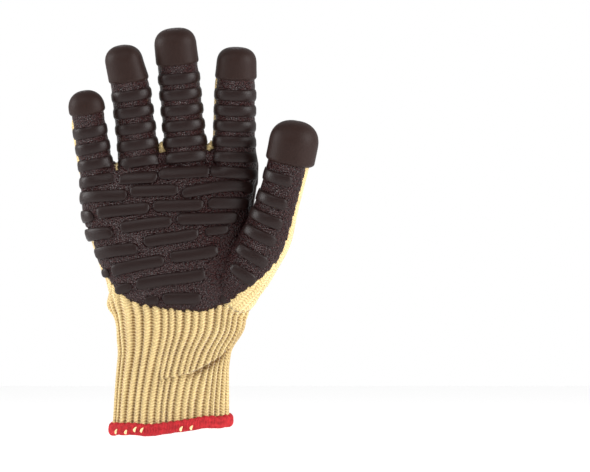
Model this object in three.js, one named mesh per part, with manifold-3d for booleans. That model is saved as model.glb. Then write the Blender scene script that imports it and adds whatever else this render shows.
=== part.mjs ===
// Anti-vibration work glove for the right hand, held open as if worn, fingers up and palm towards -Y.
// A knitted liner (five stalls, hand tube and rib cuff) is bound with an overlock hem, carries a thin
// rubber coating on the palm side, and the coating carries solid fingertip caps, a smooth web band
// and rows of rubber bars. The origin is the middle of the wrist opening. Millimetres, +Z to the tips.
import * as THREE from "three";
import { mergeVertices } from "three/addons/utils/BufferGeometryUtils.js";
import Module from "manifold-3d";

const wasm = await Module();
wasm.setup();

// Walls, skins and running gaps.
const knitWall = 2.0;
const clearance = 0.3;
const coatingThickness = 1.0;
const capThickness = 2.2;
const bandThickness = 1.8;

// The hand tube, from the rib cuff's upper edge to the roof that carries the four finger stalls.
const handHeight = 96;
const handWidth = 110;
const handDepth = 34;

// The rib cuff and its overlock hem.
const cuffHeight = 68;
const cuffWidth = 73;
const cuffDepth = 31;
const ribCount = 40;
const ribDepth = 1.2;
const hemHeight = 5.4;
const hemThickness = 4.4;
const hemRise = 5.0;

// The bars: rounded rubber ribs that stand on the coating.
const fingerBarWidth = 6.8;
const barHeight = 3.6;
const capToBar = 8.6;

// The fingers, by the middle one.
const fingerLength = 82;

// The thumb: a curved stall that grows out of the palm's root and leans forward and out.
const thumbLength = 86;
const thumbWidth = 25;
const thumbRootWidth = 36;
const thumbLean = 9;
const thumbForward = 9;
const thumbCapLength = 21;

// Heights and widths that follow from the sizes above.
const cuffTop = hemHeight + cuffHeight;
const handBottom = cuffTop + clearance;
const handTop = handBottom + handHeight;
const skinBase = clearance;
const coatingTop = skinBase + coatingThickness;
const barBase = coatingTop + 1.8 * clearance;
const palmBarWidth = 0.079 * handHeight;

// How finely the round forms are cut into flats.
const handSides = 24;
const fingerSides = 12;
const hemSides = 28;
const ringSpacing = 1;

const palmEdge = 0.56 * handWidth;
const BACK = new THREE.Vector3(0, 1, 0);
const radians = THREE.MathUtils.degToRad;
const { clamp, lerp, smoothstep } = THREE.MathUtils;

// Superellipse sine or cosine: exponent 2 is a circle, more is boxier.
const boxy = (value, power) => Math.sign(value) * Math.abs(value) ** (2 / power);

// Solids: a closed triangle soup becomes one manifold body with its faces pointing out.
function solidFrom(points, triangles) {
  const loose = new THREE.BufferGeometry();
  const flat = triangles.flatMap((t) => t.flatMap((i) => points[i].toArray()));
  loose.setAttribute("position", new THREE.Float32BufferAttribute(flat, 3));
  const merged = mergeVertices(loose, 1e-3);
  const xyz = merged.attributes.position.array;
  const kept = [];
  let volume = 0;
  const [a, b, c] = [new THREE.Vector3(), new THREE.Vector3(), new THREE.Vector3()];
  for (let i = 0; i < merged.index.count; i += 3) {
    const t = [0, 1, 2].map((k) => merged.index.getX(i + k));
    if (new Set(t).size < 3) continue;
    [a, b, c].forEach((v, k) => v.fromArray(xyz, 3 * t[k]));
    volume += a.dot(b.cross(c)) / 6;
    kept.push(t);
  }
  const facing = volume < 0 ? kept.map((t) => [t[0], t[2], t[1]]) : kept;
  return new wasm.Manifold(
    new wasm.Mesh({
      numProp: 3,
      vertProperties: new Float32Array(xyz),
      triVerts: new Uint32Array(facing.flat()),
    }),
  );
}

// A closed buffer geometry as a solid.
function solidOf(geometry) {
  const soup = geometry.index ? geometry.toNonIndexed() : geometry;
  const p = soup.attributes.position;
  const points = Array.from({ length: p.count }, (_, i) => new THREE.Vector3().fromBufferAttribute(p, i));
  return solidFrom(points, Array.from({ length: p.count / 3 }, (_, i) => [3 * i, 3 * i + 1, 3 * i + 2]));
}

// A tube through rings of equally many points, closed by a fan at each end.
function loft(rings) {
  const n = rings[0].length;
  const points = rings.flat();
  const triangles = [];
  for (let r = 0; r + 1 < rings.length; r++) {
    for (let i = 0; i < n; i++) {
      const [p, q] = [r * n + i, r * n + ((i + 1) % n)];
      triangles.push([p, q, q + n], [p, q + n, p + n]);
    }
  }
  for (const [ring, first] of [[rings[0], 0], [rings.at(-1), (rings.length - 1) * n]]) {
    const centre = ring.reduce((sum, p) => sum.add(p), new THREE.Vector3()).divideScalar(n);
    points.push(centre);
    for (let i = 0; i < n; i++) {
      const [p, q] = [first + i, first + ((i + 1) % n)];
      triangles.push(first ? [p, q, points.length - 1] : [q, p, points.length - 1]);
    }
  }
  return solidFrom(points, triangles);
}

// A curved slab: place(row, column, side) gives its points, side 0 under and side 1 on top.
function slab(rows, columns, place) {
  const points = [];
  const at = (side, r, c) => (side * (rows + 1) + r) * (columns + 1) + c;
  for (const side of [0, 1]) {
    for (let r = 0; r <= rows; r++) {
      for (let c = 0; c <= columns; c++) points.push(place(r / rows, c / columns, side));
    }
  }
  const triangles = [];
  const quad = (p, q, s, t) => triangles.push([p, q, s], [p, s, t]);
  for (let r = 0; r < rows; r++) {
    for (let c = 0; c < columns; c++) {
      quad(at(1, r, c), at(1, r, c + 1), at(1, r + 1, c + 1), at(1, r + 1, c));
      quad(at(0, r, c), at(0, r + 1, c), at(0, r + 1, c + 1), at(0, r, c + 1));
    }
    quad(at(0, r, 0), at(1, r, 0), at(1, r + 1, 0), at(0, r + 1, 0));
    quad(at(0, r, columns), at(0, r + 1, columns), at(1, r + 1, columns), at(1, r, columns));
  }
  for (let c = 0; c < columns; c++) {
    quad(at(0, 0, c), at(0, 0, c + 1), at(1, 0, c + 1), at(1, 0, c));
    quad(at(0, rows, c), at(1, rows, c), at(1, rows, c + 1), at(0, rows, c + 1));
  }
  return solidFrom(points, triangles);
}

// A ring of points, asked for by their angle.
const ringOf = (sides, place) => Array.from({ length: sides }, (_, i) => place((360 * i) / sides));

const unite = (solids) => solids.reduce((a, b) => a.add(b));

// The largest body of a solid, which drops any crumb that a cut leaves behind.
const largest = (solid) => solid.decompose().sort((a, b) => b.volume() - a.volume())[0];

// Hand tube sections. left, right: shares of handWidth; front, back: shares of handDepth.
const handSections = [
  { rise: 0.0, left: -0.335, right: 0.43, front: 0.5, back: 0.5 },
  { rise: 0.12, left: -0.365, right: 0.45, front: 0.53, back: 0.5 },
  { rise: 0.34, left: -0.41, right: 0.445, front: 0.54, back: 0.48 },
  { rise: 0.54, left: -0.47, right: 0.435, front: 0.5, back: 0.46 },
  { rise: 0.7, left: -0.497, right: 0.45, front: 0.45, back: 0.42 },
  { rise: 0.88, left: -0.495, right: 0.475, front: 0.4, back: 0.39 },
  { rise: 1.0, left: -0.455, right: 0.46, front: 0.27, back: 0.27 },
];
const handPower = 2.5;

// Cuff sections. left, right: shares of cuffWidth; front, back: shares of cuffDepth.
const cuffSections = [
  { rise: 0.0, left: -0.5, right: 0.5, front: 0.5, back: 0.5 },
  { rise: 0.25, left: -0.485, right: 0.5, front: 0.5, back: 0.5 },
  { rise: 0.5, left: -0.465, right: 0.5, front: 0.49, back: 0.5 },
  { rise: 0.72, left: -0.45, right: 0.53, front: 0.51, back: 0.52 },
  { rise: 0.88, left: -0.452, right: 0.59, front: 0.53, back: 0.54 },
];

function mixSections(table, rise) {
  const share = clamp(rise, table[0].rise, table.at(-1).rise);
  const k = Math.max(1, table.findIndex((row) => row.rise >= share));
  const [low, high] = [table[k - 1], table[k]];
  const t = (share - low.rise) / (high.rise - low.rise);
  const mixed = {};
  for (const column of ["left", "right", "front", "back"]) {
    mixed[column] = lerp(low[column], high[column], t);
  }
  return mixed;
}

// Point of an oval section: phi 0 is the thumb side (+X), 270 is the palm (-Y).
function ovalPoint(width, depth, section, phi, z, offset) {
  const middle = (width * (section.left + section.right)) / 2;
  const across = (width * (section.right - section.left)) / 2 + offset;
  const [cos, sin] = [Math.cos(radians(phi)), Math.sin(radians(phi))];
  const deep = depth * (sin < 0 ? section.front : section.back) + offset;
  return new THREE.Vector3(middle + across * boxy(cos, handPower), deep * boxy(sin, handPower), z);
}

const handRise = (z) => (z - handBottom) / handHeight;
const handPoint = (phi, z, offset) =>
  ovalPoint(handWidth, handDepth, mixSections(handSections, handRise(z)), phi, z, offset);

// The hand section's phi at a distance across it, on the palm side.
function palmPhi(x, z) {
  const section = mixSections(handSections, handRise(z));
  const middle = (handWidth * (section.left + section.right)) / 2;
  const across = (handWidth * (section.right - section.left)) / 2;
  const share = clamp((x - middle) / across, -1, 1);
  return 360 - THREE.MathUtils.radToDeg(Math.acos(boxy(share, 4 / handPower)));
}

function handTube(offset, bottom, top) {
  const heights = handSections.map((row) => handBottom + row.rise * handHeight);
  const inside = heights.filter((z) => z > bottom + ringSpacing && z < top - ringSpacing);
  return loft([bottom, ...inside, top].map((z) => ringOf(handSides, (phi) => handPoint(phi, z, offset))));
}

// The four finger stalls. across, wide: shares of handWidth; base: share of handHeight; long: share
// of fingerLength; lean: degrees towards the thumb.
const fingerRows = [
  { name: "little", across: -0.405, base: 0.82, long: 0.744, wide: 0.164, lean: -9.0 },
  { name: "ring", across: -0.172, base: 0.95, long: 0.939, wide: 0.193, lean: -6.8 },
  { name: "middle", across: 0.09, base: 1.0, long: 1.0, wide: 0.204, lean: -5.2 },
  { name: "index", across: 0.356, base: 0.99, long: 0.866, wide: 0.205, lean: 1.4 },
];

// What each finger carries. cap: its length, as a share of the stall's; bars: how many are spread
// evenly below the cap, down to low, a share of the stall's length.
const fingerTrim = {
  little: { cap: 0.197, bars: 4, low: 0.156 },
  ring: { cap: 0.264, bars: 5, low: 0.11 },
  middle: { cap: 0.22, bars: 6, low: 0.078 },
  index: { cap: 0.237, bars: 6, low: -0.048 },
};
const fingers = fingerRows.map((row) => {
  const { cap, bars, low } = fingerTrim[row.name];
  const length = row.long * fingerLength;
  return { ...row, length, width: row.wide * handWidth, cap: cap * length, bars, low: low * length };
});
const fingerDepthShare = 0.86;
const fingerTaper = 0.92;
const fingerFlare = 0.16;
const flareLength = 16;
const fingerBend = 7;
const fingerPower = 2.2;
const tipShare = 0.95;
const tipPower = 2.5;
const domeStations = [0, 0.52, 0.83, 0.975];

// How far a stall has closed at a distance along it: 1 on its shaft, 0 at the end of its blunt dome.
const domeLength = (width, offset) => (width / 2) * tipShare + offset;
function tipClosing(along, length, width, offset) {
  const dome = domeLength(width, offset);
  const into = clamp((along - length - offset + dome) / dome, 0, 1);
  return Math.max(0, 1 - into ** tipPower) ** (1 / tipPower);
}

// A stall tapers to its tip, leans in the plane of the palm and bends forward as a relaxed finger
// does. At its root it flares, so that neighbours meet in a round crotch.
function fingerPoint(finger, phi, along, offset) {
  const lean = radians(finger.lean);
  const axis = new THREE.Vector3(Math.sin(lean), 0, Math.cos(lean));
  const side = new THREE.Vector3(Math.cos(lean), 0, -Math.sin(lean));
  const share = clamp(along / finger.length, 0, 1);
  const narrowed = lerp(1, fingerTaper, share);
  const flare = fingerFlare * clamp(1 - along / flareLength, 0, 1) ** 2;
  const closing = tipClosing(along, finger.length, finger.width, offset);
  const across = ((finger.width / 2) * (narrowed + flare) + offset) * closing;
  const deep = ((finger.width / 2) * fingerDepthShare * narrowed + offset) * closing;
  const slope = Math.atan((2 * fingerBend * share) / finger.length);
  const depth = new THREE.Vector3(0, Math.cos(slope), 0).addScaledVector(axis, Math.sin(slope));
  return new THREE.Vector3(finger.across * handWidth, -fingerBend * share ** 2, fingerBase(finger))
    .addScaledVector(axis, along)
    .addScaledVector(side, across * boxy(Math.cos(radians(phi)), fingerPower))
    .addScaledVector(depth, deep * boxy(Math.sin(radians(phi)), fingerPower));
}

const fingerBase = (finger) => handBottom + finger.base * handHeight;

// Rings round a stall: some on its shaft, then the dome's, bunched towards the tip.
function stallRings(stations, length, width, offset, place) {
  const dome = domeLength(width, offset);
  const tips = domeStations.map((t) => length + offset - dome + t * dome);
  return loft([...stations, ...tips].map((along) => ringOf(fingerSides, (phi) => place(phi, along))));
}

const shaftShares = [0, 0.1, 0.25, 0.55];
function fingerTube(finger, offset, start) {
  const shaft = shaftShares.map((share) => share * finger.length).filter((at) => at > start + ringSpacing);
  return stallRings([start, ...shaft], finger.length, finger.width, offset, (phi, along) =>
    fingerPoint(finger, phi, along, offset));
}

// The thumb's line: a curve from its root inside the palm, through its elbow, to its tip. The two
// places are shares of handWidth, handDepth and handHeight from the middle of the cuff's top.
const handBox = new THREE.Vector3(handWidth, handDepth, handHeight);
const handFoot = new THREE.Vector3(0, 0, handBottom);
const inHand = (x, y, z) => new THREE.Vector3(x, y, z).multiply(handBox).add(handFoot);
const thumbRoot = inHand(0.22, -0.03, 0.03);
const thumbElbow = inHand(0.595, -0.26, 0.37);
const thumbTip = new THREE.Vector3(
  Math.sin(radians(thumbLean)), -Math.sin(radians(thumbForward)), Math.cos(radians(thumbLean)),
).normalize().multiplyScalar(thumbLength).add(thumbElbow);
const thumbLine = new THREE.QuadraticBezierCurve3(thumbRoot, thumbElbow, thumbTip);
const thumbReach = thumbLine.getLength();
const thumbTaperEnd = 0.72;
const thumbDepthShare = 0.94;
const thumbShaftShares = [0.2, 0.4, 0.6, 0.75];

// along is a distance on the curve from its root; phi 270 faces the palm side as on the fingers.
function thumbPoint(phi, along, offset) {
  const onLine = clamp(along / thumbReach, 0, 1);
  const tangent = thumbLine.getTangentAt(onLine);
  const side = new THREE.Vector3().crossVectors(BACK, tangent).normalize();
  const depth = new THREE.Vector3().crossVectors(tangent, side);
  const narrowing = smoothstep(along / thumbReach, 0, thumbTaperEnd);
  const half = lerp(thumbRootWidth, thumbWidth, narrowing) / 2;
  const closing = tipClosing(along, thumbReach, thumbWidth, offset);
  const across = (half + offset) * closing;
  const deep = (half * thumbDepthShare + offset) * closing;
  return thumbLine.getPointAt(onLine)
    .addScaledVector(tangent, along - onLine * thumbReach)
    .addScaledVector(side, across * boxy(Math.cos(radians(phi)), fingerPower))
    .addScaledVector(depth, deep * boxy(Math.sin(radians(phi)), fingerPower));
}

function thumbTube(offset, start) {
  const shaft = thumbShaftShares.map((share) => share * thumbReach).filter((at) => at > start + ringSpacing);
  return stallRings([start, ...shaft], thumbReach, thumbWidth, offset, (phi, along) =>
    thumbPoint(phi, along, offset));
}

// The knitted liner: one shell, made as tubes that run into each other, then parted at the seams
// where a knitter changes from stall to hand, with a small gap at each.
const stallOverlap = 0.12 * handHeight;
const outerTubes = (offset) =>
  unite([
    handTube(offset, handBottom - offset, handTop + offset),
    ...fingers.map((finger) => fingerTube(finger, offset, -stallOverlap - offset)),
    thumbTube(offset, -offset),
  ]);

const liner = outerTubes(0)
  .subtract(
    unite([
      handTube(-knitWall, handBottom - knitWall, handTop - knitWall),
      ...fingers.map((finger) => fingerTube(finger, -knitWall, -stallOverlap)),
      thumbTube(-knitWall, knitWall),
    ]),
  )
  .trimByPlane([0, 0, 1], handBottom);

// A block that stands on the plane through a point, as far as its normal reaches.
function blockOver(point, normal, size, tall) {
  const geometry = new THREE.BoxGeometry(size, size, tall).translate(0, 0, tall / 2);
  const turn = new THREE.Quaternion().setFromUnitVectors(new THREE.Vector3(0, 0, 1), normal);
  return solidOf(geometry.applyQuaternion(turn).translate(point.x, point.y, point.z));
}

// The region that belongs to one finger: over its seam and between its neighbours, less a margin.
// The borders lean half way between the two stalls that they part.
function border(i) {
  const [near, far] = [fingers[i - 1], fingers[i]];
  if (!near || !far) return { x: near ? palmEdge : -handWidth, slope: 0 };
  const x = ((near.across + far.across) * handWidth + (near.width - far.width) / 2) / 2;
  return { x, slope: (Math.tan(radians(near.lean)) + Math.tan(radians(far.lean))) / 2 };
}
function fingerRegion(i, margin) {
  const base = fingerBase(fingers[i]);
  const [left, right] = [border(i), border(i + 1)];
  const at = (edge, shift, z, y) => new THREE.Vector3(edge.x + shift + edge.slope * (z - base), y, z);
  const rings = [-handDepth, handDepth].map((y) => [
    at(left, margin, base + margin, y),
    at(right, -margin, base + margin, y),
    at(right, -margin, base + handHeight, y),
    at(left, margin, base + handHeight, y),
  ]);
  return loft(rings);
}

// The thumb's seam is square to its line, where it has left the palm.
const thumbSeam = 0.55 * thumbReach;
function thumbRegion(margin) {
  const point = thumbLine.getPointAt(thumbSeam / thumbReach);
  const normal = thumbLine.getTangentAt(thumbSeam / thumbReach);
  const beyond = blockOver(point.addScaledVector(normal, margin), normal, 6 * thumbWidth, thumbLength);
  return beyond.intersect(thumbTube(2 * coatingThickness - margin, thumbSeam / 2));
}

const half = clearance / 2;
const stallSolids = fingers.map((finger, i) => largest(liner.intersect(fingerRegion(i, half))));
const thumbStall = largest(liner.intersect(thumbRegion(half)));
const handSolid = largest(
  liner.subtract(unite([...fingers.map((finger, i) => fingerRegion(i, -half)), thumbRegion(-half)])),
);

// The rib cuff: its outer face is ribbed, and its lower edge climbs to the thumb side as the hem does.
const edgeRise = (x) => hemRise * smoothstep(x, -0.25 * cuffWidth, 0.5 * cuffWidth);

// The cuff's top section is the hand's own bottom section, so that the two meet.
function cuffPoint(phi, share, offset) {
  const low = mixSections(cuffSections, Math.min(share, 0.88));
  const z = hemHeight + share * cuffHeight;
  const point = ovalPoint(cuffWidth, cuffDepth, low, phi, z, offset);
  const top = handPoint(phi, handBottom, offset).setZ(z);
  point.lerp(top, smoothstep(share, 0.62, 1));
  point.z += edgeRise(point.x) * (1 - share);
  return point;
}

const cuffShares = [0.45, 0.8];
const cuffTube = (sides, first, last, offsetAt) =>
  loft([first, ...cuffShares, last].map((share) =>
    ringOf(sides, (phi) => cuffPoint(phi, share, offsetAt(phi)))));
const cuffLift = clearance / cuffHeight;
const cuffBore = -ribDepth - knitWall;
const overrun = 0.05;
const ribAt = (phi) => -ribDepth * (0.5 - 0.5 * Math.cos(radians(phi * ribCount)));
const cuffSolid = cuffTube(2 * ribCount, cuffLift, 1, ribAt).subtract(
  cuffTube(handSides, cuffLift - overrun, 1 + overrun, () => cuffBore),
);

// The overlock hem: a rounded ring of thread on the cuff's lower edge, as two halves joined.
const hemOut = 0.3;
const hemMiddle = hemOut + cuffBore / 2;
const hemProfile = [[0.5, 0.5], [0.32, 1], [-0.32, 1], [-0.5, 0.5], [-0.32, 0], [0.32, 0]];
const hemHalf = (from) =>
  loft(Array.from({ length: hemSides / 2 + 1 }, (_, i) =>
    hemProfile.map(([out, up]) => {
      const point = cuffPoint(from + (360 * i) / hemSides, 0, hemMiddle + out * hemThickness);
      return point.setZ(point.z + (up - 1) * hemHeight);
    })));
const hemSolid = hemHalf(0).add(hemHalf(180));

// The coating covers the palm side: from a curved lower edge to the fingertip caps. On each finger it
// laps further round on the thumb side than on the other.
const coatEdgeCentre = new THREE.Vector2(0.09 * handWidth, handBottom + 0.68 * handHeight);
const coatEdgeHalfWidth = 0.6 * handWidth;
const coatEdgeDrop = 0.66 * handHeight;
const coatLeft = 172;
const coatRight = 352;
const thumbCoatFrom = 140;
const thumbCoatTo = 322;

function coatEdge(x) {
  const share = clamp((x - coatEdgeCentre.x) / coatEdgeHalfWidth, -1, 1);
  return coatEdgeCentre.y - coatEdgeDrop * Math.sqrt(1 - share ** 2);
}

const capStart = (finger) => finger.length - finger.cap;
const thumbCapStart = thumbReach - thumbCapLength;

// Zones are deep slabs that say which part of the skin round the liner a piece takes. more makes a
// slab deeper both ways, so that a zone with a margin holds all of the one without.
const zoneFloor = -0.8 * knitWall;
const zoneRoof = 2.2 * knitWall;
const zoneAt = (side, more) => (side ? zoneRoof + more : zoneFloor - more);
const fingerZone = (finger, from, to, phiFrom, phiTo, more = 0) =>
  slab(3, 6, (r, c, side) =>
    fingerPoint(finger, lerp(phiFrom, phiTo, c), lerp(from, to, r), zoneAt(side, more)));
const thumbZone = (from, to, phiFrom, phiTo, more = 0) =>
  slab(5, 6, (r, c, side) => thumbPoint(lerp(phiFrom, phiTo, c), lerp(from, to, r), zoneAt(side, more)));
const handZone = (bottom, top, phiFrom, phiTo, more = 0) =>
  slab(5, 8, (r, c, side) => handPoint(lerp(phiFrom, phiTo, c), lerp(bottom, top, r), zoneAt(side, more)));

// The outline of the palm coating's curved lower edge, as a block that lies under it.
const edgeSteps = 14;
const belowEdge = (() => {
  const outline = Array.from({ length: edgeSteps + 1 }, (_, i) => {
    const x = coatEdgeCentre.x + coatEdgeHalfWidth * Math.cos(Math.PI * (1 + i / edgeSteps));
    return [x, coatEdge(x)];
  });
  const wide = [
    [2 * handWidth, coatEdgeCentre.y],
    [2 * handWidth, -handHeight],
    [-2 * handWidth, -handHeight],
    [-2 * handWidth, coatEdgeCentre.y],
  ];
  const shape = new THREE.Shape([...outline, ...wide].map(([x, z]) => new THREE.Vector2(x, z)));
  const geometry = new THREE.ExtrudeGeometry(shape, { depth: 4 * handDepth, bevelEnabled: false });
  return solidOf(geometry.rotateX(Math.PI / 2).translate(0, 2 * handDepth, 0));
})();

// The smooth web band: down the back of the thumb, round the crotch and up the index finger's side.
const bandThumbFrom = 52;
const bandSideDegrees = 30;
const bandTopShare = 0.36;
const bandGap = 3.0;
const bandFromShare = 0.4;
const indexFinger = fingers.at(-1);
const bandZones = (margin) =>
  unite([
    thumbZone(bandFromShare * thumbReach - margin, thumbReach - 0.45 * thumbCapLength + margin,
      bandThumbFrom - margin, thumbCoatFrom + margin, margin / 4),
    handZone(handBottom + bandFromShare * handHeight - margin, handTop,
      coatRight - 360 - margin, bandSideDegrees + margin, margin / 4),
    fingerZone(indexFinger, -stallOverlap, bandTopShare * indexFinger.length + margin,
      coatRight - 360 - margin, bandSideDegrees + margin, margin / 4),
  ]);
const grownLiner = outerTubes(skinBase);
const bandSolid = largest(
  outerTubes(skinBase + bandThickness).subtract(grownLiner).intersect(bandZones(0)),
);

// Where each cap starts: a point on the stall's middle line, the way to the tip and the way forward.
const capBlockShare = 1.35;
function capFrame(point, start, reach, width) {
  const low = point(90, start, 0).add(point(270, start, 0)).multiplyScalar(0.5);
  const along = point(270, reach, 0).sub(low).normalize();
  const front = point(270, start, 0).sub(low).normalize();
  front.addScaledVector(along, -front.dot(along)).normalize();
  return { low, along, front, size: capBlockShare * width };
}
const capFrames = [
  ...fingers.map((finger) =>
    capFrame((...at) => fingerPoint(finger, ...at), capStart(finger), finger.length, finger.width)),
  capFrame(thumbPoint, thumbCapStart, thumbReach, thumbWidth),
];
const capBlocks = unite(
  capFrames.map(({ low, along, size }) =>
    blockOver(low.clone().addScaledVector(along, -clearance), along, size, size)),
);

const coatZones = unite([
  handZone(handBottom, handTop + zoneRoof, coatLeft, coatRight),
  ...fingers.map((finger) => fingerZone(finger, -stallOverlap, finger.length, coatLeft, coatRight)),
  thumbZone(0.1 * thumbReach, thumbReach, thumbCoatFrom, thumbCoatTo),
]);
const coatSolid = largest(
  outerTubes(coatingTop)
    .subtract(grownLiner)
    .intersect(coatZones)
    .subtract(unite([bandZones(bandGap), capBlocks, belowEdge])),
);

// Fingertip caps: thick blunt half domes on the palm side of each tip.
const capBack = 1.5;
function capOf(frame, tube) {
  const { low, along, front } = frame;
  return tube(skinBase + capThickness)
    .subtract(tube(skinBase))
    .trimByPlane(along.toArray(), low.dot(along))
    .trimByPlane(front.toArray(), low.dot(front) - capBack);
}
const fingerCaps = fingers.map((finger, i) =>
  largest(capOf(capFrames[i], (offset) => fingerTube(finger, offset, 0))),
);
const thumbCap = capOf(capFrames[4], (offset) => thumbTube(offset, 0)).subtract(bandZones(bandGap));

// A bar is a rounded ribbon laid on a surface: up runs along the glove and out away from it. Its
// stations are angles round the glove, so that its foot follows the flats of the skin below.
const barProfile = [[-0.5, 0], [-0.38, 1], [0.38, 1], [0.5, 0]];
const barEnd = 0.6;
const barEndShare = 0.06;
const sideBarHeight = 0.35;
const barGround = outerTubes(coatingTop + clearance).add(
  outerTubes(skinBase + bandThickness + clearance).intersect(bandZones(bandGap)),
);
function barOn(width, from, to, sides, place) {
  const step = 360 / sides;
  const margin = barEndShare * (to - from);
  const stations = [from, from + margin];
  for (let phi = Math.ceil((from + 1.5 * margin) / step) * step; phi < to - 1.5 * margin; phi += step) {
    stations.push(phi);
  }
  stations.push(to - margin, to);
  const rings = stations.map((phi) => {
    const small = phi === from || phi === to ? barEnd : 1;
    return barProfile.map(([up, out]) => {
      const station = (phi - from) / (to - from);
      return place(phi, station, up * width * small, out * barHeight * small);
    });
  });
  const bar = loft(rings);
  return bar.intersect(barGround).isEmpty() ? bar : largest(bar.subtract(barGround));
}

// Bars that wrap round a stall are lower at its sides than at its front.
const sideFade = (phi) => lerp(sideBarHeight, 1, Math.max(0, -Math.sin(radians(phi))));
const fingerBarFrom = 186;
const fingerBarTo = 354;
const crotchRetreat = 22;
const fingerBar = (finger, along) => {
  const retreat = crotchRetreat * clamp(1 - along / flareLength, 0, 1);
  return barOn(fingerBarWidth, fingerBarFrom + retreat, fingerBarTo - retreat, fingerSides,
    (phi, station, up, out) => fingerPoint(finger, phi, along + up, barBase + out * sideFade(phi)));
};

// Thumb bars. down: distance from the cap's edge as a share of the thumb's reach; from, to: degrees.
const thumbBars = [
  { down: 0.075, from: 165, to: 287 },
  { down: 0.185, from: 168, to: 292 },
  { down: 0.285, from: 186, to: 296 },
  { down: 0.375, from: 206, to: 296 },
  { down: 0.475, from: 222, to: 300 },
  { down: 0.585, from: 240, to: 296 },
];
const thumbBar = (row) =>
  barOn(palmBarWidth, row.from, row.to, fingerSides, (phi, station, up, out) =>
    thumbPoint(phi, thumbCapStart - row.down * thumbReach + up, barBase + out * sideFade(phi)));

// Palm bars in brick rows. from, to: shares of handWidth from the middle; low, high: shares of
// handHeight at those two ends; wrap: degrees that the bar runs on round the little finger's side.
const palmBars = [
  { name: "palm_bar_1a", from: -0.295, to: -0.08, low: 0.885, high: 0.9, wrap: 0 },
  { name: "palm_bar_1b", from: -0.07, to: 0.215, low: 0.925, high: 0.94, wrap: 0 },
  { name: "palm_bar_2a", from: -0.5, to: -0.25, low: 0.775, high: 0.8, wrap: 10 },
  { name: "palm_bar_2b", from: -0.233, to: 0.04, low: 0.81, high: 0.82, wrap: 0 },
  { name: "palm_bar_2c", from: 0.062, to: 0.455, low: 0.825, high: 0.825, wrap: 0 },
  { name: "palm_bar_3a", from: -0.5, to: -0.455, low: 0.64, high: 0.65, wrap: 14 },
  { name: "palm_bar_3b", from: -0.42, to: -0.127, low: 0.67, high: 0.71, wrap: 0 },
  { name: "palm_bar_3c", from: -0.105, to: 0.177, low: 0.715, high: 0.73, wrap: 0 },
  { name: "palm_bar_3d", from: 0.205, to: 0.43, low: 0.735, high: 0.73, wrap: 0 },
  { name: "palm_bar_4a", from: -0.48, to: -0.33, low: 0.535, high: 0.56, wrap: 10 },
  { name: "palm_bar_4b", from: -0.29, to: 0.005, low: 0.58, high: 0.635, wrap: 0 },
  { name: "palm_bar_4c", from: 0.034, to: 0.37, low: 0.625, high: 0.64, wrap: 0 },
  { name: "palm_bar_5a", from: -0.44, to: -0.195, low: 0.41, high: 0.455, wrap: 6 },
  { name: "palm_bar_5b", from: -0.155, to: 0.155, low: 0.48, high: 0.545, wrap: 0 },
  { name: "palm_bar_6a", from: -0.34, to: -0.03, low: 0.29, high: 0.37, wrap: 0 },
  { name: "palm_bar_6b", from: 0.0, to: 0.262, low: 0.385, high: 0.43, wrap: 0 },
  { name: "palm_bar_7a", from: -0.195, to: 0.19, low: 0.21, high: 0.28, wrap: 0 },
  { name: "palm_bar_8a", from: -0.045, to: 0.165, low: 0.115, high: 0.12, wrap: 0 },
];
function palmBar(row) {
  const [low, high] = [handBottom + row.low * handHeight, handBottom + row.high * handHeight];
  const [from, to] = [palmPhi(row.from * handWidth, low) - row.wrap, palmPhi(row.to * handWidth, high)];
  return barOn(palmBarWidth, from, to, handSides, (phi, station, up, out) =>
    handPoint(phi, lerp(low, high, station) + up, barBase + out * sideFade(phi) ** 0.5));
}

// Materials, by what each piece is made of.
const knitYarn = new THREE.MeshStandardMaterial({ color: 0xe0c48c, roughness: 0.95, metalness: 0 });
const hemThread = new THREE.MeshStandardMaterial({ color: 0xc8282f, roughness: 0.9, metalness: 0 });
const coatRubber = new THREE.MeshStandardMaterial({ color: 0x2a2221, roughness: 0.75, metalness: 0 });
const barRubber = new THREE.MeshStandardMaterial({ color: 0x372e2c, roughness: 0.55, metalness: 0 });

function meshOf(name, solid, material) {
  const made = solid.getMesh();
  const xyz = new Float32Array(made.numVert * 3);
  for (let i = 0; i < made.numVert; i++) {
    const first = i * made.numProp;
    xyz.set(made.vertProperties.subarray(first, first + 3), i * 3);
  }
  const geometry = new THREE.BufferGeometry();
  geometry.setAttribute("position", new THREE.BufferAttribute(xyz, 3));
  geometry.setIndex(new THREE.BufferAttribute(new Uint32Array(made.triVerts), 1));
  geometry.computeVertexNormals();
  const mesh = new THREE.Mesh(geometry, material);
  mesh.name = name;
  return mesh;
}

const glove = new THREE.Group();
glove.add(meshOf("knit_hand", handSolid, knitYarn));
glove.add(meshOf("rib_cuff", cuffSolid, knitYarn));
glove.add(meshOf("overlock_hem", hemSolid, hemThread));
glove.add(meshOf("thumb_stall", thumbStall, knitYarn));
glove.add(meshOf("palm_coating", coatSolid, coatRubber));
glove.add(meshOf("web_band", bandSolid, barRubber));
glove.add(meshOf("thumb_cap", largest(thumbCap), barRubber));
fingers.forEach((finger, i) => {
  glove.add(meshOf(`${finger.name}_stall`, stallSolids[i], knitYarn));
  glove.add(meshOf(`${finger.name}_cap`, fingerCaps[i], barRubber));
  for (let k = 0; k < finger.bars; k++) {
    const along = lerp(capStart(finger) - capToBar, finger.low, k / (finger.bars - 1));
    glove.add(meshOf(`${finger.name}_bar_${k + 1}`, fingerBar(finger, along), barRubber));
  }
});
thumbBars.forEach((row, i) => glove.add(meshOf(`thumb_bar_${i + 1}`, thumbBar(row), barRubber)));
palmBars.forEach((row) => glove.add(meshOf(row.name, palmBar(row), barRubber)));

export default glove;
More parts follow.
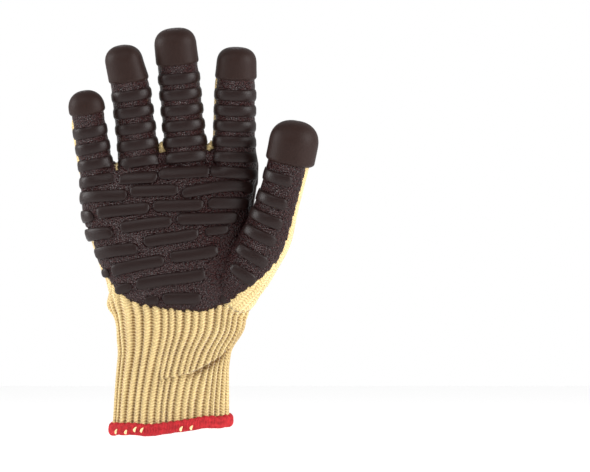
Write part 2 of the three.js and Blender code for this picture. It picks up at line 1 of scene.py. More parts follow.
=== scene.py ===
# Anti-vibration work glove for the right hand, held open as if worn, fingers up, palm towards -Y.
# The glove is put together here in the order of its making: knitted hand and stalls, rib cuff,
# overlock hem, rubber coating, web band, fingertip caps, rubber bars, and last the studio round it.
import math

import bpy
import numpy as np
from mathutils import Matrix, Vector


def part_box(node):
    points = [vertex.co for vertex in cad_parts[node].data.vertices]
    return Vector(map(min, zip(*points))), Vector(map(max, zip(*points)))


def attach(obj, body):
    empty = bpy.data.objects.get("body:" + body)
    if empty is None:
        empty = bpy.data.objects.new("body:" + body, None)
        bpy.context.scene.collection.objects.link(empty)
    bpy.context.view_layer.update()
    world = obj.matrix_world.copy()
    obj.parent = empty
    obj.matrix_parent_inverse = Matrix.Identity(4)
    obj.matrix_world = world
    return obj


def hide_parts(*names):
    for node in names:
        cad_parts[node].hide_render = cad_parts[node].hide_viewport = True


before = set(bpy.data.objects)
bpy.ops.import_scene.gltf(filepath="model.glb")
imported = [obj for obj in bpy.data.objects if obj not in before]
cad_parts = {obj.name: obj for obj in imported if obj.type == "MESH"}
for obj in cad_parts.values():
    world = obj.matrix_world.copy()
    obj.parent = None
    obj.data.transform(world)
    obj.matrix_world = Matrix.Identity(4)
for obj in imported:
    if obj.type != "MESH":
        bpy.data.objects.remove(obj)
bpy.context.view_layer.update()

bpy.ops.object.select_all(action="DESELECT")

# Knitted hand and stalls. A seamless liner of cream yarn, knitted in one go as a hand tube from
# which four finger stalls and a thumb stall grow. Its wales run up the hand and into each stall.
MM = 0.001
BODY = "root"
hand_width, hand_depth, hand_height = 110, 34, 96
cuff_width, cuff_depth, cuff_height, hem_height = 73, 31, 68, 5.4
hand_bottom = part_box("knit_hand")[0].z / MM
hand_top = hand_bottom + hand_height
oval_power, stall_power, tip_power = 2.5, 2.2, 2.5

# Sections of the hand tube and the cuff: rise, then left, right (of the width), front, back (of the depth).
hand_sections = np.array([
    (0.00, -0.335, 0.430, 0.50, 0.50),
    (0.12, -0.365, 0.450, 0.53, 0.50),
    (0.34, -0.410, 0.445, 0.54, 0.48),
    (0.54, -0.470, 0.435, 0.50, 0.46),
    (0.70, -0.497, 0.450, 0.45, 0.42),
    (0.88, -0.495, 0.475, 0.40, 0.39),
    (1.00, -0.455, 0.460, 0.27, 0.27),
])
cuff_sections = np.array([
    (0.00, -0.500, 0.500, 0.50, 0.50),
    (0.25, -0.485, 0.500, 0.50, 0.50),
    (0.50, -0.465, 0.500, 0.49, 0.50),
    (0.72, -0.450, 0.530, 0.51, 0.52),
    (0.88, -0.452, 0.590, 0.53, 0.54),
])


def smoothstep(value, low, high):
    t = np.clip((value - low) / (high - low), 0, 1)
    return t * t * (3 - 2 * t)


def eased(table, steps=97, reach=4):
    """The section table in finer steps, with the corners between its rows rounded off."""
    rise = np.linspace(table[0, 0], table[-1, 0], steps)
    columns = [np.interp(rise, table[:, 0], table[:, k]) for k in range(1, 5)]
    kernel = np.exp(-0.5 * (np.arange(-3 * reach, 3 * reach + 1) / reach) ** 2)
    padded = [np.pad(c, 3 * reach, mode="reflect", reflect_type="odd") for c in columns]
    return np.column_stack([rise] + [np.convolve(p, kernel / kernel.sum(), "valid") for p in padded])


hand_table, cuff_table = eased(hand_sections), eased(cuff_sections)


def section_at(table, rise):
    return [np.interp(rise, table[:, 0], table[:, k]) for k in range(1, 5)]


def boxy(value, power):
    return np.sign(value) * np.abs(value) ** (2 / power)


def oval_point(width, depth, section, phi, z, offset):
    """Point of an oval section: phi 0 is the thumb side (+X), 270 is the palm (-Y)."""
    left, right, front, back = section
    cos, sin = np.cos(np.radians(phi)), np.sin(np.radians(phi))
    across = width * (right - left) / 2 + offset
    deep = depth * np.where(sin < 0, front, back) + offset
    x = width * (left + right) / 2 + across * boxy(cos, oval_power)
    y = deep * boxy(sin, oval_power)
    return np.stack(np.broadcast_arrays(x, y, z), axis=-1)


def hand_point(phi, z, offset):
    section = section_at(hand_table, (z - hand_bottom) / hand_height)
    return oval_point(hand_width, hand_depth, section, phi, z, offset)


# Stalls: across (of the hand's width), base (of its height), length, width, lean and cap length, then
# the tip: how long its dome is (of the half width), how square, how far its two sides are drawn over.
stalls = {
    "little": dict(across=-0.405, base=0.82, length=61.0, width=18.04, lean=-9.0, cap=12.0,
                   dome=0.95, square=2.3, skew=(0, 0.4)),
    "ring": dict(across=-0.172, base=0.95, length=77.0, width=21.23, lean=-6.8, cap=20.9,
                 dome=0.8, square=2.6, skew=(-1.3, -3.0)),
    "middle": dict(across=0.090, base=1.0, length=82.0, width=22.44, lean=-5.2, cap=20.2,
                   dome=0.78, square=2.9, skew=(0, -0.6)),
    "index": dict(across=0.356, base=0.99, length=71.0, width=22.55, lean=1.4, cap=17.6,
                  dome=0.76, square=3.1, skew=(1.4, -0.4)),
}
depth_share, taper, flare_share, flare_length, bend, tip_share = 0.86, 0.92, 0.2, 20, 7, 0.95
skew_from, skew_full = 26, 4
thumb_length, thumb_width, thumb_root_width, thumb_lean, thumb_forward = 86, 25, 36, 9, 9
thumb_depth_share, thumb_taper_end, thumb_cap, thumb_sunk_length = 0.94, 0.72, 24, 38


def tip_closing(along, length, width, offset, dome_share=tip_share, square=tip_power):
    dome = width / 2 * dome_share + offset
    into = np.clip((along - length - offset + dome) / dome, 0, 1)
    return np.maximum(0, 1 - into ** square) ** (1 / square)


def stall_frame(stall, along):
    """Centre, side and depth directions, and half sizes, at distances along a finger stall."""
    lean = math.radians(stall["lean"])
    axis = np.array([math.sin(lean), 0, math.cos(lean)])
    side = np.array([math.cos(lean), 0, -math.sin(lean)])
    share = np.clip(along / stall["length"], 0, 1)
    slope = np.arctan(2 * bend * share / stall["length"])
    root = np.array([stall["across"] * hand_width, 0, hand_bottom + stall["base"] * hand_height])
    centre = root + along[..., None] * axis
    centre[..., 1] -= bend * share ** 2
    depth = np.sin(slope)[..., None] * axis
    depth[..., 1] += np.cos(slope)
    narrowed = 1 + (taper - 1) * share
    flare = flare_share * np.clip(1 - along / flare_length, 0, 1) ** 2
    half = stall["width"] / 2
    across, deep = half * (narrowed + flare), half * depth_share * narrowed
    return centre, np.broadcast_to(side, centre.shape), depth, across, deep


def place_round(centre, side, depth, across, deep, phi):
    cos, sin = np.cos(np.radians(phi)), np.sin(np.radians(phi))
    return (centre + (across * boxy(cos, stall_power))[..., None] * side
            + (deep * boxy(sin, stall_power))[..., None] * depth)


def finger_point(stall, phi, along, offset):
    phi, along = np.broadcast_arrays(np.asarray(phi, float), np.asarray(along, float))
    centre, side, depth, across, deep = stall_frame(stall, along)
    closing = tip_closing(along, stall["length"], stall["width"], offset, stall["dome"], stall["square"])
    point = place_round(centre, side, depth, (across + offset) * closing, (deep + offset) * closing, phi)
    turn = np.cos(np.radians(phi))
    drawn = np.where(turn < 0, -stall["skew"][0] * turn, stall["skew"][1] * turn)
    full = smoothstep(along, stall["length"] - skew_from, stall["length"] - skew_full)
    return point + (drawn * full)[..., None] * side


def run_along(points):
    """Distances along a line of points from its first one."""
    return np.concatenate([[0], np.cumsum(np.linalg.norm(np.diff(points, axis=0), axis=1))])


def in_hand(x, y, z):
    return np.array([x * hand_width, y * hand_depth, hand_bottom + z * hand_height])


thumb_root, thumb_elbow = in_hand(0.22, -0.03, 0.03), in_hand(0.595, -0.26, 0.37)
thumb_way = np.array([
    math.sin(math.radians(thumb_lean)), -math.sin(math.radians(thumb_forward)),
    math.cos(math.radians(thumb_lean)),
])
thumb_tip = thumb_elbow + thumb_length * thumb_way / np.linalg.norm(thumb_way)
curve_t = np.linspace(0, 1, 241)[:, None]
thumb_line = ((1 - curve_t) ** 2 * thumb_root + 2 * curve_t * (1 - curve_t) * thumb_elbow
              + curve_t ** 2 * thumb_tip)
thumb_steps = run_along(thumb_line)
thumb_reach = thumb_steps[-1]
thumb_tangents = np.gradient(thumb_line, thumb_steps, axis=0)


def thumb_frame(along):
    on_line = np.clip(along, 0, thumb_reach)
    centre = np.stack([np.interp(on_line, thumb_steps, thumb_line[:, k]) for k in range(3)], axis=-1)
    tangent = np.stack([np.interp(on_line, thumb_steps, thumb_tangents[:, k]) for k in range(3)], axis=-1)
    tangent /= np.linalg.norm(tangent, axis=-1, keepdims=True)
    side = np.cross([0, 1, 0], tangent)
    side /= np.linalg.norm(side, axis=-1, keepdims=True)
    depth = np.cross(tangent, side)
    narrowing = smoothstep(along / thumb_reach, 0, thumb_taper_end)
    half = (thumb_root_width + (thumb_width - thumb_root_width) * narrowing) / 2
    sunk = smoothstep(along, -4, thumb_sunk_length)
    centre = centre + (along - on_line)[..., None] * tangent
    return centre, side, depth, half * (0.8 + 0.2 * sunk), half * thumb_depth_share * (0.58 + 0.42 * sunk)


def thumb_point(phi, along, offset):
    phi, along = np.broadcast_arrays(np.asarray(phi, float), np.asarray(along, float))
    centre, side, depth, across, deep = thumb_frame(along)
    closing = tip_closing(along, thumb_reach, thumb_width, offset)
    return place_round(centre, side, depth, (across + offset) * closing, (deep + offset) * closing, phi)


def loft(rings):
    """A closed tube through rings of equally many points: its points and its faces."""
    rows, columns = rings.shape[:2]
    points = np.concatenate([rings.reshape(-1, 3), rings[0].mean(0)[None], rings[-1].mean(0)[None]])
    faces = []
    for i in range(columns):
        j = (i + 1) % columns
        for r in range(rows - 1):
            faces.append((r * columns + i, r * columns + j, (r + 1) * columns + j, (r + 1) * columns + i))
        faces.append((j, i, rows * columns))
        faces.append(((rows - 1) * columns + i, (rows - 1) * columns + j, rows * columns + 1))
    return points, faces


def mesh_object(name, points, faces):
    """An object whose mesh has these points, given in millimetres."""
    mesh = bpy.data.meshes.new(name)
    mesh.from_pydata(np.asarray(points) * MM, [], faces)
    mesh.update()
    made = bpy.data.objects.new(name, mesh)
    bpy.context.scene.collection.objects.link(made)
    return made

shoulder, ring_gap, round_points, stall_overlap = 7, 1.5, 72, 12
around = np.arange(round_points) * 360 / round_points


def body_rings(low, offset):
    """The hand tube from a height up, closed above by a rounded shoulder between the stalls."""
    levels = [(z, offset) for z in np.arange(low, hand_top - shoulder, ring_gap)]
    for turn in np.radians(np.linspace(0, 80, 7)):
        levels.append((hand_top - shoulder + shoulder * math.sin(turn) + offset,
                       offset - shoulder * (1 - math.cos(turn))))
    return np.array([hand_point(around, np.full(round_points, z), pull) for z, pull in levels])


def stall_rings(place, start, length, width, offset, dome_share=tip_share):
    """A stall's rings, bunched towards the tip of its dome."""
    dome = width / 2 * dome_share + offset
    shaft = np.arange(start, length + offset - dome, ring_gap)
    tips = length + offset - dome + dome * np.sin(np.radians(np.linspace(0, 88, 14)))
    return np.array([place(around, np.full(round_points, a)) for a in np.concatenate([shaft, tips])])


# The cloth stands up between neighbouring fingers: x, top, half width, half depth.
webs = [
    (-33.4, 165.5, 4.5, 6), (-5.6, 177, 5.5, 7), (23.6, 178, 5.5, 7),
    (-5.4, 183.5, 3, 4.5), (24.1, 182.5, 2.8, 4.5),
]
web_dome = 4


def web_rings(x, top, wide, deep, offset):
    low, turn = top - web_dome, np.radians(around)
    tips = low + web_dome * np.sin(np.radians(np.linspace(0, 85, 7)))
    rings = []
    for z in np.concatenate([np.arange(hand_top - stall_overlap, low, ring_gap), tips]):
        close = math.sqrt(max(0, 1 - (max(0, z - top + web_dome) / web_dome) ** 2))
        rings.append(np.column_stack([
            x + (wide * close + offset) * np.cos(turn), (deep * close + offset) * np.sin(turn),
            np.full(round_points, z + offset)]))
    return np.array(rings)


def glove_tubes(low, offset):
    """Every tube of the liner, grown or shrunk by an offset: closed solids that run into each other."""
    tubes = [body_rings(low, offset)] + [web_rings(*web, offset) for web in webs]
    for stall in stalls.values():
        tubes.append(stall_rings(lambda phi, along: finger_point(stall, phi, along, offset),
                                 -stall_overlap, stall["length"], stall["width"], offset, stall["dome"]))
    tubes.append(stall_rings(lambda phi, along: thumb_point(phi, along, offset),
                             2, thumb_reach, thumb_width, offset))
    return tubes


def read_vectors(rows, key):
    """One vector of each item in a mesh, as rows of three numbers."""
    values = np.zeros(len(rows) * 3)
    rows.foreach_get(key, values)
    return values.reshape(-1, 3)


def voxel_skin(tubes, voxel, rounding):
    """One skin round all the tubes, with even faces and rounded corners: points, normals and faces."""
    points, faces, count = [], [], 0
    for rings in tubes:
        tube_points, tube_faces = loft(rings)
        faces += [tuple(i + count for i in face) for face in tube_faces]
        points.append(tube_points)
        count += len(tube_points)
    form = mesh_object("form", np.concatenate(points), faces)
    remesh = form.modifiers.new("even", "REMESH")
    remesh.mode, remesh.voxel_size = "VOXEL", voxel * MM
    soften = form.modifiers.new("soften", "SMOOTH")
    soften.factor, soften.iterations = 0.5, rounding
    bpy.ops.object.select_all(action="DESELECT")
    bpy.context.view_layer.objects.active = form
    form.select_set(True)
    for modifier in list(form.modifiers):
        bpy.ops.object.modifier_apply(modifier=modifier.name)
    mesh = form.data
    quads = np.zeros(len(mesh.loops), int)
    mesh.loops.foreach_get("vertex_index", quads)
    at, out = read_vectors(mesh.vertices, "co") / MM, read_vectors(mesh.vertex_normals, "vector")
    bpy.data.objects.remove(form)
    return at, out, quads.reshape(-1, 4)


skin_voxel, skin_rounding = 0.64, 8
skin_points, _, skin_faces = voxel_skin(glove_tubes(hand_bottom - 6, 0), skin_voxel, skin_rounding)


def blurred(values, faces, rounds):
    """Values on a skin, evened out between neighbours."""
    one, two = faces.ravel(), np.roll(faces, -1, axis=1).ravel()
    count = np.maximum(np.bincount(one, minlength=len(values)) + np.bincount(two, minlength=len(values)), 1)
    for _ in range(rounds):
        total = np.bincount(one, values[two], len(values)) + np.bincount(two, values[one], len(values))
        values = 0.5 * values + 0.5 * total / count
    return values


def round_corner(points, faces, weight, rounds):
    """Part of a skin evened out, as its corners are drawn round by the stretch of the cloth."""
    inside = (weight[faces] > 0.01).any(1)
    used, where = np.unique(faces[inside], return_inverse=True)
    local, held = where.reshape(-1, 4), weight[used][:, None]
    part = points[used]
    for _ in range(rounds):
        even = np.column_stack([blurred(part[:, k], local, 2) for k in range(3)])
        part = part + (even - part) * held
    points[used] = part


# Crotches and the thumb's root: x, z, reach, rounds.
corners = [(-33.5, 163, 11, 5), (-5.5, 177, 10, 6), (23.6, 178, 10, 6), (46, 79, 17, 80)]
for x, z, reach, rounds in corners:
    gap = np.hypot(skin_points[:, 0] - x, skin_points[:, 2] - z)
    round_corner(skin_points, skin_faces, 1 - smoothstep(gap, 0.4 * reach, reach), rounds)


def vertex_normals(points, faces):
    a = points[faces[:, 2]] - points[faces[:, 0]]
    b = points[faces[:, 3]] - points[faces[:, 1]]
    across, corner = np.repeat(np.cross(a, b), 4, axis=0), faces.ravel()
    total = np.stack([np.bincount(corner, across[:, k], len(points)) for k in range(3)], -1)
    return total / np.maximum(np.linalg.norm(total, axis=1, keepdims=True), 1e-12)


skin_normals = vertex_normals(skin_points, skin_faces)
outside = 99.0


# Each point of the skin in the terms of each tube: how far outside it, its angle round and its place along.
def round_terms(local_across, local_deep, across, deep, power):
    a, b = local_across / across, local_deep / deep
    radial = (np.abs(a) ** power + np.abs(b) ** power) ** (1 / power)
    raised = [np.sign(share) * np.abs(share) ** (power / 2) for share in (b, a)]
    return (radial - 1) * np.minimum(across, deep), np.degrees(np.arctan2(*raised)) % 360


def hand_terms(p):
    left, right, front, back = section_at(hand_table, (p[:, 2] - hand_bottom) / hand_height)
    middle, across = hand_width * (left + right) / 2, hand_width * (right - left) / 2
    deep = hand_depth * np.where(p[:, 1] < 0, front, back)
    out, phi = round_terms(p[:, 0] - middle, p[:, 1], across, deep, oval_power)
    above = np.maximum(p[:, 2] - hand_top + shoulder, 0)
    out = np.where(above > 0, np.hypot(np.maximum(out + shoulder, 0), above) - shoulder, out)
    return out, phi, p[:, 2]


def finger_terms(stall, p):
    lean = math.radians(stall["lean"])
    dx, dz = p[:, 0] - stall["across"] * hand_width, p[:, 2] - hand_bottom - stall["base"] * hand_height
    first = dx * math.sin(lean) + dz * math.cos(lean)
    along = first
    for _ in range(2):
        share = np.clip(along / stall["length"], 0, 1)
        slope = np.arctan(2 * bend * share / stall["length"])
        local_deep = (p[:, 1] + bend * share ** 2) / np.cos(slope)
        along = first - local_deep * np.sin(slope)
    local_across = dx * math.cos(lean) - dz * math.sin(lean)
    across, deep = stall_frame(stall, along)[3:]
    closing = tip_closing(along, stall["length"], stall["width"], 0, stall["dome"], stall["square"])
    closing = np.maximum(closing, 0.05)
    out, phi = round_terms(local_across, local_deep, across * closing, deep * closing, stall_power)
    return np.where(along > -stall_overlap, out, outside), phi, along


thumb_side = 15


def thumb_terms(p):
    along = np.zeros(len(p))
    near = p[:, 0] > thumb_side
    for block in np.array_split(np.flatnonzero(near), 40):
        gaps = ((p[block, None, :] - thumb_line[None, ::2]) ** 2).sum(-1)
        along[block] = thumb_steps[::2][gaps.argmin(1)]
    centre, side, depth, across, deep = thumb_frame(along)
    off = p - centre
    tangent = np.cross(side, depth)
    along = along + np.where(near, (off * tangent).sum(-1), 0)
    centre, side, depth, across, deep = thumb_frame(along)
    off = p - centre
    closing = np.maximum(tip_closing(along, thumb_reach, thumb_width, 0), 0.05)
    out, phi = round_terms((off * side).sum(-1), (off * depth).sum(-1),
                           across * closing, deep * closing, stall_power)
    return np.where(near & (along > 4), out, outside), phi, along


terms = {"hand": hand_terms(skin_points), "thumb": thumb_terms(skin_points)}
for finger, stall in stalls.items():
    terms[finger] = finger_terms(stall, skin_points)
tube_names = ["hand", *stalls, "thumb"]
skin_tube = np.argmin([terms[name][0] for name in tube_names], axis=0)

# Wales and courses. The hand's wales are counted from the middle of its palm and of its back, each
# stall's all the way round, and near a root the two are blended so that the columns run through.
course = 1.85
wales_low, wales_high, stall_wales, thumb_wales = 40, 54, 14, 18


def round_share(rings_of, phi, row):
    """Share of the way round a tube's section, from the palm's middle, for points at an angle and a row."""
    fine = np.linspace(-90, 270, 181)
    rows = np.linspace(row.min(), row.max() + 1e-6, 24)
    table = np.array([run_along(rings_of(fine, np.full(len(fine), r))) for r in rows])
    table /= table[:, -1:]
    at_phi = ((phi + 90) % 360) / 2
    i, s = np.clip(at_phi.astype(int), 0, len(fine) - 2), np.clip(at_phi - at_phi.astype(int), 0, 1)
    at_row = (row - rows[0]) / (rows[1] - rows[0])
    j = np.clip(at_row.astype(int), 0, len(rows) - 2)
    t = np.clip(at_row - j, 0, 1)
    low = table[j, i] * (1 - s) + table[j, i + 1] * s
    high = table[j + 1, i] * (1 - s) + table[j + 1, i + 1] * s
    return low * (1 - t) + high * t


rib_drift, drift_from, drift_full, drift_gone = 0.032, 8, hand_bottom + 6, hand_bottom + 40


def rib_label(share, z):
    """Place of a point in the count of ribs: going up, the ribs of both faces drift to the thumb side."""
    drift = rib_drift * smoothstep(z, drift_from, hand_bottom) * (1 - smoothstep(z, drift_full, drift_gone))
    uneven = 0.0032 * np.sin(2 * np.pi * 5 * share + 0.8) + 0.002 * np.sin(2 * np.pi * 11 * share + 2)
    return share - drift * np.cos(2 * np.pi * share) + uneven


def hand_wales(phi, z):
    """Wale number on the hand: more of them at its widest, and each face counted from its own middle."""
    share = round_share(lambda p, r: hand_point(p, r, 0), phi, z)
    count = wales_low + (wales_high - wales_low) * smoothstep(z, hand_bottom, hand_bottom + 0.6 * hand_height)
    palm_side = (share < 0.25) | (share > 0.75)
    from_palm = np.where(share > 0.5, share - 1, share)
    drift = (share - rib_label(share, z)) * wales_low
    return 0.5 - drift + np.where(palm_side, count * from_palm, wales_low / 2 + count * (share - 0.5)), share


skin_u, skin_share = hand_wales(terms["hand"][1], np.clip(skin_points[:, 2], hand_bottom, hand_top))
skin_v = skin_points[:, 2] / course
wale_start, wale_blend, wale_step = {"little": 6, "ring": -3, "middle": -3, "index": -3}, 15, 9
off_hand = [np.full(len(skin_points), outside - 1)] + [terms[name][0] for name in tube_names[1:]]
nearest_stall = np.argmin(off_hand, axis=0)
for number, (finger, stall) in enumerate(stalls.items(), start=1):
    _, phi, along = terms[finger]
    share = round_share(lambda p, r: finger_point(stall, p, r, 0), phi,
                        np.clip(along, 0, 0.6 * stall["length"]))
    at_front = np.array([[stall["across"] * hand_width, -5.0, hand_top - 8]])
    at_back = at_front * (1, -1, 1)
    on_palm, on_rear = (hand_wales(hand_terms(at)[1], at[:, 2])[0][0] for at in (at_front, at_back))
    front = round(2 * on_palm) / 2
    back = front + stall_wales / 2 + round(on_rear - front - stall_wales / 2)
    mine = np.where((share > 0.25) & (share < 0.75), back + stall_wales * (share - 0.5),
                    front + stall_wales * np.where(share > 0.5, share - 1, share))
    base = hand_bottom + stall["base"] * hand_height
    start = wale_start[finger]
    weight = smoothstep(along, start, start + wale_blend) * (nearest_stall == number)
    skin_u = np.where(np.abs(mine - skin_u) < wale_step, skin_u + (mine - skin_u) * weight,
                      np.where(weight > 0.5, mine, skin_u))
    skin_v = skin_v + ((base + along) / course - skin_v) * weight
_, thumb_phi, thumb_along = terms["thumb"]
thumb_share = round_share(lambda p, r: thumb_point(p, r, 0), thumb_phi,
                          np.clip(thumb_along, 0, 0.7 * thumb_reach))
others = np.min([terms[name][0] for name in tube_names[:-1]], axis=0)
on_thumb = smoothstep(others - terms["thumb"][0], -0.5, 1.5)
skin_u = np.where(on_thumb > 0.5, thumb_wales * thumb_share, skin_u)
skin_v = np.where(on_thumb > 0.5, thumb_along / course, skin_v)

# Relief of the knit: broad ribs that fade out above the cuff, then the wales and the loops in them.
rib_count, rib_depth, wale_depth = 40, 1.35, 0.34
rib_end = hand_bottom + 26


def rib_valley(label):
    """0 on the crest of a rib and 1 in the furrow beside it."""
    return 0.5 - 0.5 * np.cos(2 * np.pi * rib_count * label)


def rib_relief(label):
    proud = 0.22 * np.cos(2 * np.pi * 9 * label + 1) + 0.14 * np.cos(2 * np.pi * 13 * label)
    return -rib_depth * rib_valley(label) ** 1.4 * (1 + proud)


# The edge of the fold, x and z, and the box it lies in: left, back, low, high.
fold_line = np.array([
    (50.0, 78.0), (44.5, 69.0), (36.6, 55.8), (30.5, 49.2), (23.9, 44.6), (17.1, 41.0), (11.8, 38.4),
    (5.0, 37.0),
])
fold_left, fold_back, fold_low, fold_high = -6, 2, 22, 92
fold_steps, fold_lip, fold_dip, lip_fades, dip_fades = 90, 3.3, 2.2, 6.0, 3.5
shift_below, shift_above, shift_fades = -0.016, 0.02, 9.0


def fold_terms(p):
    """For points by the fold: which they are, how far above its edge, and how strong it is there."""
    x, y, z = p.T
    near = np.flatnonzero((y < fold_back) & (x > fold_left) & (z > fold_low) & (z < fold_high))
    steps = np.linspace(0, len(fold_line) - 1, fold_steps)
    line = np.column_stack([np.interp(steps, np.arange(len(fold_line)), fold_line[:, k]) for k in (0, 1)])
    off = p[near][:, None, [0, 2]] - line[None]
    nearest = (off ** 2).sum(-1).argmin(1)
    way = np.gradient(line, axis=0)[nearest]
    way /= np.linalg.norm(way, axis=1, keepdims=True)
    off = off[np.arange(len(near)), nearest]
    over = way[:, 1] * off[:, 0] - way[:, 0] * off[:, 1]
    along = np.clip(nearest / (fold_steps - 1), 0.02, 0.98)
    return near, over, np.sin(np.pi * along) ** 0.5 * smoothstep(-y[near], -2, 4)


def fold_relief(p):
    """The slanting fold on the palm side of the wrist: the cloth above laps over the cloth below."""
    relief = np.zeros(len(p))
    near, over, fade = fold_terms(p)
    lip = fold_lip * smoothstep(over, -0.6, 0.6) * np.exp(-np.maximum(over, 0) / lip_fades)
    dip = -fold_dip * (1 - smoothstep(over, -0.4, 0.5)) * np.exp(np.minimum(over, 0) / dip_fades)
    relief[near] = fade * (lip + dip)
    return relief


def fold_shift(p):
    """How far the ribs below the fold are out of step with the ribs above it, in shares of the way round."""
    shift = np.zeros(len(p))
    near, over, fade = fold_terms(p)
    above = smoothstep(over, -0.4, 0.4)
    shift[near] = shift_below * fade * (1 - above) * np.exp(np.minimum(over, 0) / shift_fades)
    shift[near] += shift_above * fade * above * np.exp(-np.maximum(over, 0) / shift_fades)
    return shift


# Where the worn cloth stands out or pulls in: x, y, z, radius, height.
puffs = np.array([
    (-43, 0, 91, 8, -2.8), (-41, 0, 80, 6, 2.2), (-36, -3, 68, 8, -2.2), (76, -10, 118, 16, 2.4),
    (46, -4, 84, 9, 0.8), (-20, 15, 40, 14, 0.8), (18, 16, 62, 12, 0.9), (-10, -15, 58, 12, 0.7),
])


def puff_relief(p):
    relief = np.zeros(len(p))
    for x, y, z, radius, height in puffs:
        relief += height * np.exp(-((p - (x, y, z)) ** 2).sum(1) / radius ** 2)
    return relief


def wander(p, scale, seed):
    """Soft unevenness of worn cloth, from a few crossing waves."""
    draw = np.random.default_rng(seed)
    total = np.zeros(len(p))
    for _ in range(7):
        way = draw.normal(size=3)
        way /= np.linalg.norm(way)
        total += np.sin((p @ way) * 2 * np.pi / (scale * draw.uniform(0.7, 1.6)) + draw.uniform(0, 6.28))
    return total / 7


def cloth_swell(p):
    """The slow swell of the worn cloth, which what lies on it follows."""
    return 0.5 * wander(p, 34, 3)


column = 1 - (np.abs(skin_u % 1 - 0.5) * 2) ** 3
rib_fade = (1 - smoothstep(skin_points[:, 2], hand_bottom, rib_end)) * (1 - on_thumb)
skin_label = rib_label(skin_share, skin_points[:, 2]) + fold_shift(skin_points)
skin_soft = cloth_swell(skin_points) + puff_relief(skin_points)
skin_relief = (0.4 * wale_depth * (column - 1) + rib_fade * rib_relief(skin_label)
               + skin_soft + fold_relief(skin_points))
# The cloth swells out beside the coating of two fingers: the angle of its middle, and its height.
swell_wide = 20
for finger, middle_phi, height in (("little", 166, 3.0), ("index", 168, 2.6)):
    _, phi, along = terms[finger]
    length = stalls[finger]["length"]
    full = smoothstep(along, 4, 16) * (1 - smoothstep(along, length - 20, length - 8))
    on = skin_tube == tube_names.index(finger)
    skin_relief += height * on * full * np.exp(-((phi - middle_phi) / swell_wide) ** 2)
knit_points = skin_points + skin_normals * skin_relief[:, None]
knit_normals = vertex_normals(knit_points, skin_faces)


def cut_piece(name, points, faces, layers, chosen=slice(None), normals=None):
    """Some faces of a skin as an object of their own, with the whole skin's normals and its layers."""
    normals = vertex_normals(points, faces) if normals is None else normals
    used, where = np.unique(faces[chosen], return_inverse=True)
    kept = where.reshape(-1, 4)
    made = mesh_object(name, points[used], kept)
    mesh = made.data
    for layer, values in layers.items():
        if values.ndim == 2:
            corners = values[used][kept]
            first = corners[:, :1, 0]
            corners[:, :, 0] = np.where(np.abs(corners[:, :, 0] - first) > 1.5, first, corners[:, :, 0])
            mesh.uv_layers.new(name=layer).data.foreach_set("uv", corners.reshape(-1))
        else:
            mesh.attributes.new(layer, "FLOAT", "POINT").data.foreach_set("value", values[used])
    mesh.shade_smooth()
    mesh.normals_split_custom_set_from_vertices(normals[used])
    return made


# The rib layer, the depth in a rib's furrow, lays painted shade into the furrows and a painted highlight onto
# the crests of the yarn's colour.
knit_layers = {
    "knit": np.stack([skin_u, skin_v], -1),
    "rib": rib_fade * rib_valley(skin_label),
}
face_tube = skin_tube[skin_faces[:, 0]]
face_low = skin_points[skin_faces][:, :, 2].min(1)
knit_nodes = {"hand": "knit_hand", **{name: f"{name}_stall" for name in tube_names[1:]}}
knit_pieces = []
for number, tube in enumerate(tube_names):
    chosen = (face_tube == number) & (face_low > hand_bottom - 0.6)
    piece = cut_piece(f"knitted_{tube}", knit_points, skin_faces, knit_layers, chosen, knit_normals)
    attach(piece, BODY)
    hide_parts(knit_nodes[tube])
    knit_pieces.append(piece)


def maths(tree):
    """A function that adds math nodes to this tree, fed by sockets or plain numbers."""
    def add(operation, *inputs, clamp=False):
        node = tree.nodes.new("ShaderNodeMath")
        node.operation, node.use_clamp = operation, clamp
        for socket, given in zip(node.inputs, inputs):
            if isinstance(given, bpy.types.NodeSocket):
                tree.links.new(given, socket)
            else:
                socket.default_value = given
        return node.outputs[0]
    return add


def new_group(name, inputs, outputs):
    tree = bpy.data.node_groups.new(name, "ShaderNodeTree")
    for way, labels in (("INPUT", inputs), ("OUTPUT", outputs)):
        for label, kind in labels:
            tree.interface.new_socket(label, in_out=way, socket_type=f"NodeSocket{kind}")
    return tree, tree.nodes.new("NodeGroupInput").outputs, tree.nodes.new("NodeGroupOutput").inputs


# Loops of the knit in wale and course numbers: slanting legs with a furrow between the wales.
stitch_tree, given, result = new_group(
    "knit_loops", [("Wales", "Vector")], [(label, "Float") for label in ("Height", "Furrow", "Gap", "Dots")])
split = stitch_tree.nodes.new("ShaderNodeSeparateXYZ")
stitch_tree.links.new(given["Wales"], split.inputs[0])
calc = maths(stitch_tree)
leg = calc("MULTIPLY", calc("ABSOLUTE", calc("SUBTRACT", calc("FRACT", split.outputs["X"]), 0.5)), 2.0)
slanted = calc("SUBTRACT", split.outputs["Y"], calc("MULTIPLY", leg, 0.75))
beat = calc("COSINE", calc("MULTIPLY", slanted, 2 * math.pi))
row_beat = calc("COSINE", calc("MULTIPLY", split.outputs["Y"], 2 * math.pi))
dots = calc("MULTIPLY_ADD", row_beat, 0.5, 0.5)
plump = calc("SINE", calc("MULTIPLY", calc("POWER", leg, 0.7), math.pi))
flank = calc("MULTIPLY", calc("SUBTRACT", 1.0, calc("POWER", leg, 4.0)), 0.5)
middle_line = calc("MULTIPLY", calc("POWER", calc("SUBTRACT", 1.0, leg), 5.0), 0.4)
side_line = calc("MULTIPLY", calc("POWER", leg, 3.8), calc("MULTIPLY_ADD", dots, 0.8, 0.35))
column_height, loop_height = calc("MULTIPLY_ADD", plump, 0.5, flank), calc("MULTIPLY_ADD", beat, 0.32, 0.68)
